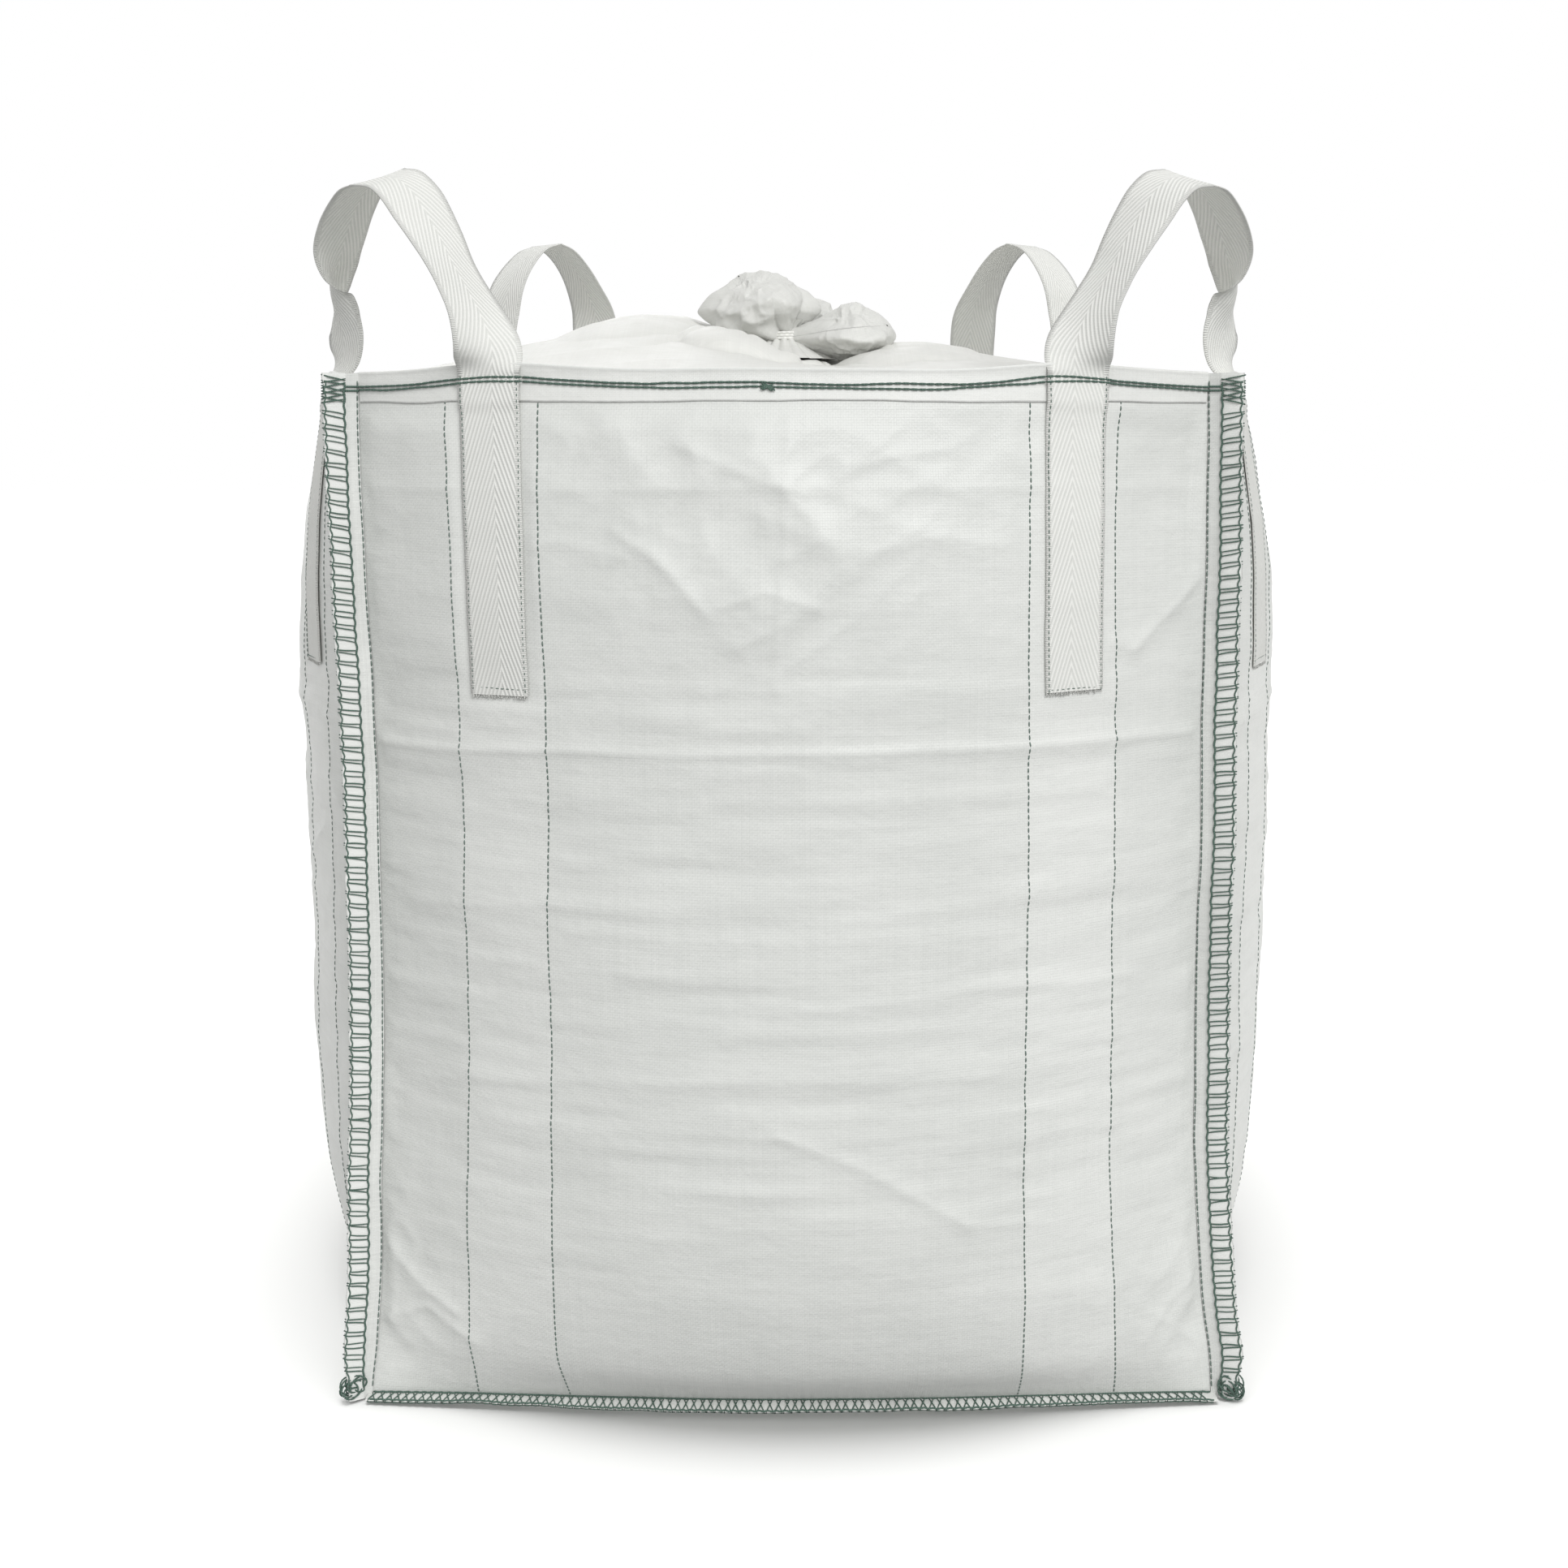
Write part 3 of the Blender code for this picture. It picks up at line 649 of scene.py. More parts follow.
def rim_stitching(side):
    end = arc(RIM)[2] * arc(RIM)[3] - 0.001
    parts = []
    for line, below in ((0, 0.0132), (1, 0.0172)):
        def height(s, below=below, line=line):
            wave = 0.0009 * along(840 + side, s, 0.07, line) + 0.0004 * along(850 + side + line, s, 0.02)
            return RIM + rim_rise(side, s) * 1.15 - below + wave
        count = int(2 * end / 0.0078)
        parts.append(stitches(side, -end, end, height, count, 1.12, 0.00105))
        parts.append(stitches(side, -end + 0.003, end, height, count, 0.8, 0.00085))
    for end_corner, sign in ((side, 1), ((side + 1) % 4, -1)):
        for below in (0.0132, 0.0172):
            out = np.linspace(-0.001, LADDER, 9)
            z = RIM + rim_rise(side, -sign * end) * 1.15 - below + 0.0 * out
            parts.append(tubes(fin_point(end_corner, z, out, sign * 0.0024), 0.001,
                               fin_frame(end_corner, z)[2] * sign))
    # where the seam starts and ends, a few stitches are sewn over one another
    pick = np.random.default_rng(60 + side)
    at = (-0.016, 0.05, -0.12, 0.09)[side]
    for _ in range(6):
        z0 = RIM + 0.0035 - 0.0152
        s = at + np.linspace(-0.005, 0.005, 6) + pick.uniform(-0.003, 0.003)
        z = z0 + np.linspace(-0.0036, 0.0036, 6) * pick.choice((-1, 1)) * pick.uniform(0.3, 1.0)
        parts.append(tubes(place(side, s, z, proud(s, z) + 0.0016), 0.001, outward(side, s, z)))
    return piece(f"rim_stitching_{SIDES[side]}", parts, green_thread)


for side in range(4):
    hem_band(side)


# ---- marker yarns ------------------------------------------------------------------------------

def yarn_s(side, sign, line, z):
    """Where a marker yarn runs: beside the webbing, from hem to base seam."""
    drift = (0.0016 * noise(860 + side + 7 * sign, line, z, 1.0, 0.22)
             + 0.0005 * noise(870 + side, line, z, 1.0, 0.05))
    foot = 0.01 * (1 - ease(z, 0.0, 0.085)) * (sign < 0)
    return sign * LEG_S + line * MARKER + drift + foot


def marker_yarns(side):
    parts = []
    for sign in (-1, 1):
        for line in (-1, 1):
            low = seam_lift((sign * LEG_S + line * MARKER) / (CUT / 2)) + 0.002
            start = np.arange(low, RIM - HEM, 0.0064)
            z = start[:, None] + np.linspace(0, 0.005, 4)[None, :]
            s = yarn_s(side, sign, line, z)
            lift = np.array((-0.0002, 0.0003, 0.0003, -0.0002))[None, :]
            parts.append(tubes(place(side, s, z, lift), 0.0008, outward(side, s, z), flat=0.6))
    return piece(f"marker_yarns_{SIDES[side]}", parts, pale_thread)


for side in range(4):
    marker_yarns(side)


# ---- corner seams ------------------------------------------------------------------------------

LEAN = (-20, 22, -12, 12)  # degrees that each seam lies over, from its diagonal


def fin_frame(corner, z):
    """Foot of the seam at height z, and its two directions: out along the seam, and across its thickness."""
    z = np.asarray(z, float)
    foot = place(corner, -arc(z)[2] * arc(z)[3], z, rough=False)
    sway = 5.0 * along(720 + corner, z, 0.2) + 3.0 * along(725 + corner, z, 0.07)
    angle = np.radians(225 + 90 * corner + LEAN[corner] + sway)
    out = stacked(np.cos(angle), np.sin(angle), np.zeros_like(angle))
    return foot, out, np.cross(np.array((0.0, 0.0, 1.0)), out)


def fin_point(corner, z, out_by, side_by, curl=True):
    """A point of the seam's cross-section at height z. The free edge curls gently up and down its length."""
    z, out_by, side_by = np.broadcast_arrays(*(np.asarray(v, float) for v in (z, out_by, side_by)))
    foot, out, beside = fin_frame(corner, z)
    if curl:  # it narrows into the knot at its foot
        out_by = out_by * (1 - 0.3 * (1 - ease(z, 0.004, 0.055)))
    wave = 0.0026 * along(730 + corner, z, 0.1) * (out_by / FIN) ** 2 if curl else 0.0
    return foot + out * out_by[..., None] + beside * (side_by + wave)[..., None]


def corner_fin(corner):
    z = np.linspace(0.0015, RIM + 0.005, 300)[:, None]
    ripple = 0.0006 * along(740 + corner, z, PITCH / 2)
    section = [(0.0, 0.0013), (0.006, 0.0013), (0.0125, 0.0014), (0.0145, 0.0018), (0.022, 0.0017),
               (0.029, 0.0017), (0.0335, 0.0014), (0.0348, 0.0), (0.0335, -0.0014), (0.029, -0.0017),
               (0.022, -0.0017), (0.0145, -0.0018), (0.0125, -0.0014), (0.006, -0.0013), (0.0, -0.0013)]
    out_by = np.array([p[0] for p in section])[None, :]
    side_by = np.array([p[1] for p in section])[None, :]
    edge = ease(out_by, 0.02, FIN)
    width = out_by + edge * (0.0008 * along(745 + corner, z, 0.011) + ripple)
    points = fin_point(corner, z, width, side_by)
    uv = stacked(out_by + 0.05 * (side_by < 0), z)
    made = piece(f"corner_fin_{CORNERS[corner]}", [sheet_of(points, uv)], seam_cloth)
    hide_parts(f"corner_seam_{CORNERS[corner]}")
    return made


def corner_ladder(corner):
    """Overlock thread: cords along the seam and pairs of rungs that wrap its free edge."""
    pick = np.random.default_rng(300 + corner)
    low, high = 0.03, RIM - 0.028
    first = np.arange(low, high, PITCH)
    parts = []
    normal = fin_frame(corner, first)[2]
    for lag in (0.0, 0.0044):
        z0 = first + lag + pick.uniform(-0.0006, 0.0006, len(first))
        slant = 0.0042 + pick.uniform(-0.0012, 0.0016, len(first)) - lag * 0.25
        out = np.array((LADDER, 0.019, 0.025, 0.031, 0.0352, 0.031, 0.025, 0.019, LADDER))
        beside = np.array((0.0024, 0.0026, 0.0025, 0.0023, 0.0, -0.0023, -0.0025, -0.0026, -0.0024))
        rise = np.abs(np.arange(9) - 4) / 4
        bow = 0.0008 * np.sin(np.linspace(0, 2 * math.pi, 9))
        z = (z0[:, None] + slant[:, None] * (1 - rise)[None, :]
             + bow[None, :] * pick.uniform(-1, 1, (len(first), 1)))
        path = fin_point(corner, z, out[None, :], beside[None, :])
        up = np.broadcast_to(np.array((0.0, 0.0, 1.0)), path.shape)
        parts.append(tubes(path, pick.uniform(0.00058, 0.00078, len(first)), up))
    steps = np.linspace(0.012, RIM - 0.004, 520)
    beat = 2 * math.pi * (steps - low) / PITCH
    for face in (-1, 1):
        cord = fin_point(corner, steps, LADDER + 0.0006 * np.sin(beat + 1.0)
                         + 0.0005 * along(750 + corner, steps, 0.03, face),
                         face * 0.0026)
        parts.append(tubes(cord, 0.00105, fin_frame(corner, steps)[2] * face))
        edge = fin_point(corner, steps, 0.0328 + 0.0009 * np.sin(beat),
                         face * (0.002 + 0.0003 * np.cos(beat)))
        parts.append(tubes(edge, 0.00075, fin_frame(corner, steps)[2] * face))
    # bar tack at the top: rungs sewn back and forth, crossing one another
    for i in range(10):
        z0 = RIM - 0.023 + 0.026 * i / 10 + pick.uniform(-0.0008, 0.0008)
        slant = (-1) ** i * pick.uniform(0.004, 0.0065)
        out = np.array((LADDER - 0.001, 0.021, 0.03, 0.0356, 0.03, 0.021, LADDER - 0.001))
        beside = np.array((0.0028, 0.0032, 0.003, 0.0, -0.003, -0.0032, -0.0028))
        z = z0 + slant * (np.abs(np.arange(7) - 3) / 3 - 0.5)
        parts.append(tubes(fin_point(corner, z, out, beside), 0.00078, np.array((0.0, 0.0, 1.0))))
    # tangle of thread where the seam ends at the base
    for i in range(13):
        a = np.linspace(0, 2 * math.pi * pick.uniform(0.7, 1.0), 16) + pick.uniform(0, 6)
        size = pick.uniform(0.006, 0.0105)
        middle_out, middle_z = pick.uniform(0.014, 0.026), pick.uniform(0.01, 0.02)
        z = np.maximum(middle_z + size * np.sin(a) * pick.uniform(0.6, 1.1), 0.0014)
        out = middle_out + size * np.cos(a)
        beside = pick.choice((-1, 1)) * 0.0026 + 0.0022 * np.sin(a * 1.7 + i)
        parts.append(tubes(fin_point(corner, z, out, beside, curl=False), 0.0009, fin_frame(corner, z)[1]))
    return piece(f"corner_overlock_{CORNERS[corner]}", parts, green_thread)


def corner_safety_stitch(corner):
    """The seam proper: a row of stitches at the foot of the fin, on both of its faces."""
    start = np.arange(0.012, RIM - 0.004, 0.007)
    parts = []
    for face in (-1, 1):
        z = start[:, None] + np.linspace(0, 0.0064, 4)[None, :]
        lift = np.array((0.0009, 0.0019, 0.0019, 0.0009))[None, :]
        out = 0.0012 + 0.0005 * along(760 + corner, z, 0.04, face)
        parts.append(tubes(fin_point(corner, z, out, face * lift), 0.0007, fin_frame(corner, z)[2] * face))
    return piece(f"corner_stitch_{CORNERS[corner]}", parts, pale_thread)


for corner in range(4):
    corner_fin(corner)
    corner_ladder(corner)
    corner_safety_stitch(corner)
    rim_stitching(corner)


# ---- base seams --------------------------------------------------------------------------------

def base_fin_point(side, u, out_by, up_by):
    """A point of the base seam's cross-section: it stands out and droops, but never below the floor."""
    u, out_by, up_by = np.broadcast_arrays(*(np.asarray(v, float) for v in (u, out_by, up_by)))
    z = seam_lift(u) + 0.0045
    _, _, radius, half = arc(z)
    s = u * (radius * half + 0.003)
    foot = place(side, s, z, rough=False)
    out = outward(side, s, z)
    droop = np.radians(58 + 10 * along(770 + side, s, 0.09)) * ease(z, 0.006, 0.022)
    down = stacked(np.zeros_like(u), np.zeros_like(u), -np.sin(droop))
    outwards = out * np.cos(droop)[..., None] + down
    up = out * np.sin(droop)[..., None] + np.stack((np.zeros_like(u),) * 2 + (np.cos(droop),), axis=-1)
    wave = 0.0014 * along(775 + side, s, 0.035) * out_by / BASE_FIN
    found = foot + outwards * out_by[..., None] + up * (up_by + wave)[..., None]
    found[..., 2] = np.maximum(found[..., 2], 0.001 + np.maximum(up_by, 0) * 0.8)
    return found


def base_seam(side):
    u = np.linspace(-1, 1, 300)[:, None]
    section = [(-0.001, 0.0012), (0.004, 0.0013), (0.009, 0.0013), (0.014, 0.0011), (0.0155, 0.0),
               (0.014, -0.0011), (0.009, -0.0013), (0.004, -0.0013), (-0.001, -0.0012)]
    out = np.array([p[0] for p in section])[None, :]
    up = np.array([p[1] for p in section])[None, :]
    points = base_fin_point(side, u, out, up)
    uv = stacked(u * CUT / 2, out)
    made = piece(f"base_fin_{SIDES[side]}", [sheet_of(points, uv)], hem_cloth)
    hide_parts(f"base_seam_{SIDES[side]}")
    pick = np.random.default_rng(400 + side)
    count = int(CUT / 0.0092)
    u0 = -0.985 + 1.97 * (np.arange(count) + pick.uniform(-0.08, 0.08, count)) / count
    parts = []
    for way in (-1, 1):
        slant = way * 0.0036 / (CUT / 2)
        out = np.array((0.0022, 0.006, 0.0105, 0.0145, 0.0162, 0.014, 0.009, 0.003))
        up = np.array((0.002, 0.0021, 0.002, 0.0017, 0.0, -0.0017, -0.0019, -0.0019))
        lean = slant * (out / BASE_FIN - 0.5) * 2
        path = base_fin_point(side, u0[:, None] + lean[None, :], out[None, :], up[None, :])
        parts.append(tubes(path, pick.uniform(0.00055, 0.00075, count), np.array((0.0, 0.0, 1.0))))
    run = np.linspace(-0.99, 0.99, 560)
    beat = run * count * math.pi
    for out, up, radius in ((0.002, 0.0022, 0.00095), (0.0148, 0.0015, 0.0009), (0.014, -0.0016, 0.0007)):
        path = base_fin_point(side, run, out + 0.0005 * np.sin(beat + out * 400), up)
        parts.append(tubes(path, radius, np.array((0.0, 0.0, 1.0))))
    piece(f"base_overlock_{SIDES[side]}", parts, green_thread)


for side in range(4):
    base_seam(side)


# ---- webbing straps and lifting loops ----------------------------------------------------------

# Half of a loop, from the rim to the top: height above the rim, distance from the middle of the
# loop along its fold line, how far it stands outside the fold line, turn and roll in degrees.
LOOP_ON_FRONT = (
    (0.000, 1.00, 0.000, 67, 0), (0.028, 0.99, 0.000, 30, 0), (0.058, 0.895, 0.001, 4, 0),
    (0.085, 0.76, 0.003, -5, 0), (0.11, 0.635, 0.006, -6, 0), (0.135, 0.53, 0.01, 0, 3),
    (0.158, 0.43, 0.015, 4, 9), (0.178, 0.335, 0.02, 4, 15), (0.193, 0.2, 0.024, 0, 19),
    (0.1985, 0.00, 0.025, 0, 20),
)
LOOP_ON_SIDE = (
    (0.000, 1.00, 0.000, 72, 0), (0.022, 0.905, -0.011, 86, 0), (0.048, 0.865, -0.012, 91, 0),
    (0.07, 0.875, -0.008, 85, 0), (0.086, 0.876, -0.004, 70, 0), (0.102, 0.865, -0.001, 50, 0),
    (0.12, 0.81, 0.003, 27, 1), (0.143, 0.7, 0.008, 10, 4), (0.166, 0.53, 0.014, 4, 10),
    (0.184, 0.34, 0.019, 1, 15), (0.195, 0.17, 0.023, 0, 18), (0.1985, 0.00, 0.025, 0, 20),
)
BACK_LOOP_ON_BACK = (
    (0.000, 1.00, 0.000, 67, 0), (0.03, 0.96, -0.006, 71, 0), (0.062, 0.9, -0.018, 66, 0),
    (0.095, 0.82, -0.03, 50, 0), (0.125, 0.72, -0.042, 28, 0), (0.155, 0.55, -0.054, 10, 0),
    (0.182, 0.36, -0.064, 2, 0), (0.202, 0.17, -0.07, 0, 0), (0.21, 0.00, -0.072, 0, 0),
)
BACK_LOOP_ON_SIDE = (
    (0.000, 1.00, 0.000, 67, 0), (0.024, 0.8, -0.018, 40, 0), (0.05, 0.6, -0.035, 12, 0),
    (0.08, 0.48, -0.048, -6, 0), (0.11, 0.46, -0.056, -10, 0), (0.145, 0.43, -0.063, -8, 0),
    (0.175, 0.33, -0.068, -4, 0), (0.2, 0.17, -0.071, 0, 0), (0.21, 0.00, -0.072, 0, 0),
)
TWIST_RISE = 0.096  # where the side half of a front loop turns over, and folds a little along its length
TWIST_REACH = 0.028
TWIST_DEPTH = 0.021


def spline(values, count):
    """Points evenly along a Catmull-Rom curve through the rows of values."""
    values = np.asarray(values, float)
    ends = np.concatenate((2 * values[:1] - values[1:2], values, 2 * values[-1:] - values[-2:-1]))
    t = np.linspace(0, len(values) - 1, 40 * len(values))
    i = np.minimum(t.astype(int), len(values) - 2)
    f = (t - i)[:, None]
    a, b, c, d = (ends[i + k] for k in range(4))
    fine = 0.5 * (2 * b + (c - a) * f + (2 * a - 5 * b + 4 * c - d) * f ** 2
                  + (3 * b - a - 3 * c + d) * f ** 3)
    run = np.concatenate(([0.0], np.cumsum(np.linalg.norm(np.diff(fine[:, :3], axis=0), axis=1))))
    want = np.linspace(0, run[-1], count)
    return np.stack([np.interp(want, run, fine[:, k]) for k in range(fine.shape[1])], axis=-1)


def strap_path(corner):
    """Centre line, width direction and twist of one strap: up one side, over, and down the next."""
    diagonal = math.radians(225 + 90 * corner)
    out = np.array((math.cos(diagonal), math.sin(diagonal), 0.0))
    fold = np.array((-math.sin(diagonal), math.cos(diagonal), 0.0))
    halves = []
    for way, side, sign in ((1, corner, -1), (-1, (corner - 1) % 4, 1)):  # the two sides that it joins
        z = np.linspace(LEG_LOW + 0.004 * (way < 0), RIM, 90)
        s = np.full_like(z, sign * LEG_S) + 0.0008 * along(880 + corner, z, 0.12, way)
        leg = place(side, s, z, web_offset(z))
        tangent = np.cross(np.array((0.0, 0.0, 1.0)), outward(side, s, z)) * -sign
        foot = leg[-1]
        foot_out, foot_fold = foot @ out, foot @ fold
        rows = []
        if corner > 1:
            shape = BACK_LOOP_ON_BACK if side == 2 else BACK_LOOP_ON_SIDE
        else:
            shape = LOOP_ON_FRONT if side == 0 else LOOP_ON_SIDE
        for rise, share, lean, turn, roll in shape:
            spot = out * (foot_out + lean) + fold * (foot_fold * share)
            rows.append((spot[0], spot[1], RIM + rise, turn, roll))
        loop = spline(np.array(rows), 96)[1:]
        turn, roll = np.radians(loop[:, 3])[:, None], np.radians(loop[:, 4])[:, None]
        across = -out * np.cos(turn) + fold * way * np.sin(turn)
        across = across * np.cos(roll) + np.array((0.0, 0.0, 1.0)) * np.sin(roll)
        blend = ease(loop[:, 2], RIM - 0.002, RIM + 0.02)[:, None]
        across = across * blend + tangent[-1] * (1 - blend)
        line = np.concatenate((leg, loop[:, :3]))
        twist = np.exp(-((line[:, 2] - RIM - TWIST_RISE) / TWIST_REACH) ** 2) * (shape is LOOP_ON_SIDE)
        halves.append((line, np.concatenate((tangent, across)), twist))
    return [np.concatenate((first, second[::-1][1:])) for first, second in zip(*halves)]


def strap(corner):
    centre, across, twist = strap_path(corner)
    run = np.gradient(centre, axis=0)
    run /= np.linalg.norm(run, axis=1, keepdims=True)
    across = across - (across * run).sum(1, keepdims=True) * run
    across /= np.linalg.norm(across, axis=1, keepdims=True)
    face = np.cross(across, run)
    length = np.concatenate(([0.0], np.cumsum(np.linalg.norm(np.diff(centre, axis=0), axis=1))))
    free = ease(centre[:, 2], RIM + 0.005, RIM + 0.05)
    width = np.linspace(-1, 1, 15)
    half = WEBBING / 2 * (1 + 0.012 * along(890 + corner, length, 0.03)) * (1 - 0.16 * twist)
    cup = 0.0022 * free * (0.5 + 0.5 * along(895 + corner, length, 0.12)) - TWIST_DEPTH * twist
    curl = cup[:, None] * (width[None, :] ** 2 - 0.3)
    top = WEB_THICK / 2 * (1 - 0.35 * np.abs(width) ** 6)
    ring_w = np.concatenate((width, width[::-1]))
    ring_n = np.concatenate((top, -top[::-1]))
    ring_c = np.concatenate((curl, curl[:, ::-1]), axis=1)
    points = (centre[:, None, :] + across[:, None, :] * (half[:, None] * ring_w[None, :])[..., None]
              + face[:, None, :] * (ring_n[None, :] + ring_c)[..., None])
    uv = stacked(ring_w[None, :] * WEBBING / 2, np.minimum(length, length[-1] - length)[:, None])
    parts = [sheet_of(points, uv, wrap=True)]
    # the cut ends: a line of short, loose fibres
    pick = np.random.default_rng(500 + corner)
    for end, way in ((0, -1.0), (-1, 1.0)):
        count = 110
        w = pick.uniform(-1, 1, count) * WEBBING / 2
        start = (centre[end] + across[end] * w[:, None]
                 + face[end] * pick.uniform(-0.8, 0.8, (count, 1)) * WEB_THICK / 2)
        drop = pick.uniform(0.0018, 0.0046, count)
        steps = np.linspace(-0.5, 1, 4)[None, :, None]
        path = start[:, None, :] + run[end] * way * drop[:, None, None] * steps
        path = path + across[end] * (pick.uniform(-0.0009, 0.0009, (count, 1, 1))
                                     * np.maximum(steps, 0) ** 2)
        path = path + face[end] * (pick.uniform(-0.0004, 0.0006, (count, 1, 1)) * np.maximum(steps, 0) ** 2)
        parts.append(tubes(path, pick.uniform(0.00022, 0.0004, count), face[end]))
    name = CORNERS[corner]
    made = piece(f"strap_{name}", parts, webbing, body=None)
    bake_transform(made)
    sides = (SIDES[corner], SIDES[(corner - 1) % 4])
    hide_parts(f"loop_{name}", *(f"leg_{side}_{name}" for side in sides))
    return made


def leg_stitching(side):
    """Two rows of stitches that hold the webbing to the side, close to its edges, and one across its end."""
    parts = []
    for sign in (-1, 1):
        for edge in (-1, 1):
            start = np.arange(LEG_LOW + 0.003, RIM - 0.002, 0.0056)
            z = start[:, None] + np.linspace(0, 0.0048, 4)[None, :]
            s = (sign * LEG_S + edge * (WEBBING / 2 - 0.0026)
                 + 0.0006 * noise(905 + side + sign, edge, z, 1.0, 0.03))
            lift = np.array((-0.0003, 0.00035, 0.00035, -0.0003))[None, :]
            path = place(side, s, z, web_offset(z) + WEB_THICK * 0.42 + lift)
            parts.append(tubes(path, 0.0007, outward(side, s, z)))
        s = sign * LEG_S + np.arange(-0.0285, 0.0285, 0.006)[:, None] + np.linspace(0, 0.005, 4)[None, :]
        z = np.full_like(s, LEG_LOW + 0.0065) + 0.0003 * noise(915, s, sign, 0.01, 1.0)
        path = place(side, s, z, web_offset(z) + WEB_THICK * 0.42
                     + np.array((-0.0003, 0.0002, 0.0002, -0.0003))[None, :])
        parts.append(tubes(path, 0.0005, outward(side, s, z)))
    return piece(f"leg_stitching_{SIDES[side]}", parts, pale_thread)


straps = [strap(corner) for corner in range(4)]
for side in range(4):
    leg_stitching(side)


# ---- top cloth and tied spout ------------------------------------------------------------------

def top_outline(count):
    """The line inside the rim where the top cloth is sewn."""
    points = []
    for side in range(4):
        u = np.linspace(-1, 1, count // 4 + 1)[:-1]
        s = u * (arc(RIM)[2] * arc(RIM)[3] - 0.0005)
        points.append(place(side, s, RIM, -0.0058))
    return np.concatenate(points)


CROWN = ((-180, 0.094), (-135, 0.05), (-95, 0.02), (-45, 0.026), (0, 0.056), (45, 0.06), (90, 0.068),
         (135, 0.086))


def dome(angle, share):
    """Height of the top cloth above the rim; share is 0 at the seam and 1 at the neck."""
    around = np.degrees(angle)[..., None] + np.linspace(-32, 32, 9)
    peak = np.interp(around, *zip(*CROWN), period=360).mean(-1)
    rise = np.interp(share, (0.0, 0.1, 0.25, 0.42, 0.58, 0.7, 0.8, 0.9, 1.0),
                     (0.0, 0.17, 0.42, 0.66, 0.88, 0.98, 0.98, 0.8, 0.55))
    return -0.012 + (peak + 0.012) * rise


def puffed(x, y, at_x, at_y, wide, deep, turn=0.0):
    """A pillow of slack cloth with a steep edge, 1 at its middle."""
    a, b = rotated(x - at_x, y - at_y, -turn)
    return np.maximum(0.0, 1 - (a / wide) ** 2 - (b / deep) ** 2) ** 0.62


def top_relief(angle, share, radius):
    """Folds that run out from the tied neck, and the slack between them."""
    near = ease(share, 0.45, 0.92)
    deep = np.abs(np.sin(4.5 * angle + 0.8
                         + 1.2 * noise(610, 2 * np.cos(angle) + share, 2 * np.sin(angle), 0.9, 0.9)))
    fine = np.abs(np.sin(10 * angle
                         + 2.0 * noise(611, 2 * np.cos(angle) + share, 2 * np.sin(angle), 0.6, 0.6)))
    x, y = radius * np.cos(angle), radius * np.sin(angle)
    slack = 0.005 * noise(612, x, y, 0.2, 0.16) + 0.0035 * creased(613, x, y, 0.1, 20)
    slack = slack + 0.0012 * creased(614, x, y, 0.035, -35, 1.5)
    folds = near * (0.008 * (deep ** 0.7 - 0.55) + 0.003 * (fine - 0.6))
    return folds + slack * ease(share, 0.0, 0.15) * (1 - 0.4 * near)


def top_sheet():
    count, rings = 480, 120
    edge = top_outline(count)
    angle = np.arctan2(edge[:, 1], edge[:, 0])[None, :]
    reach = np.hypot(edge[:, 0], edge[:, 1])[None, :]
    share = np.linspace(0, 1, rings)[:, None] ** 0.92
    neck = 0.02
    radius = reach + (neck - reach) * share
    height = RIM + dome(angle, share) + top_relief(angle, share, radius)
    x, y = radius * np.cos(angle), radius * np.sin(angle)
    height = height + 0.024 * puffed(x, y, -0.05, -0.105, 0.072, 0.07, 20)
    height = height + 0.014 * puffed(x, y, 0.028, -0.06, 0.026, 0.042, -20)
    height = height + 0.012 * puffed(x, y, 0.15, -0.06, 0.09, 0.075, 15)
    height = height + 0.008 * puffed(x, y, -0.19, -0.02, 0.085, 0.11, -10)
    points = stacked(radius * np.cos(angle), radius * np.sin(angle), height)
    made = piece("cloth_top", [sheet_of(points, points[..., :2], wrap=True)], top_cloth)
    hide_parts("top_panel")
    return made


def spout_neck():
    """The spout's sleeve, drawn in tight under its tie."""
    count = 144
    angle = np.linspace(0, 2 * math.pi, count + 1)[:-1][None, :]
    rows = np.array(((0.06, 0.036), (0.046, 0.044), (0.034, 0.051), (0.025, 0.058), (0.0195, 0.064),
                     (0.0175, 0.07), (0.02, 0.077), (0.028, 0.084)))
    fine = spline(np.column_stack((rows, np.zeros(len(rows)))), 40)
    pleat = np.abs(np.sin(9 * angle + 0.9 * np.sin(angle * 2))) - 0.5
    radius = (fine[:, 0][:, None] * (1 + 0.2 * pleat)
              + 0.001 * noise(620, angle, fine[:, 1][:, None], 0.3, 0.01))
    z = RIM + fine[:, 1][:, None] + 0.0 * angle
    points = stacked(radius * np.cos(angle), radius * np.sin(angle), z)
    uv = stacked(angle * 0.02, z)
    made = piece("spout_sleeve", [sheet_of(points, uv, wrap=True)], spout_cloth)
    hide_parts("spout_neck")
    return made


def spout_cord():
    """A thin cord wound three times round the neck."""
    t = np.linspace(0, 1, 240)
    a = 2 * math.pi * 3 * t
    radius = 0.0215 + 0.0007 * np.sin(9 * a / 3)
    path = stacked(radius * np.cos(a), radius * np.sin(a), RIM + 0.059 + 0.01 * t)
    made = piece("spout_tie_cord", [tubes(path, 0.0019, np.array((0.0, 0.0, 1.0)))], white_cord)
    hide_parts("spout_tie")
    return made


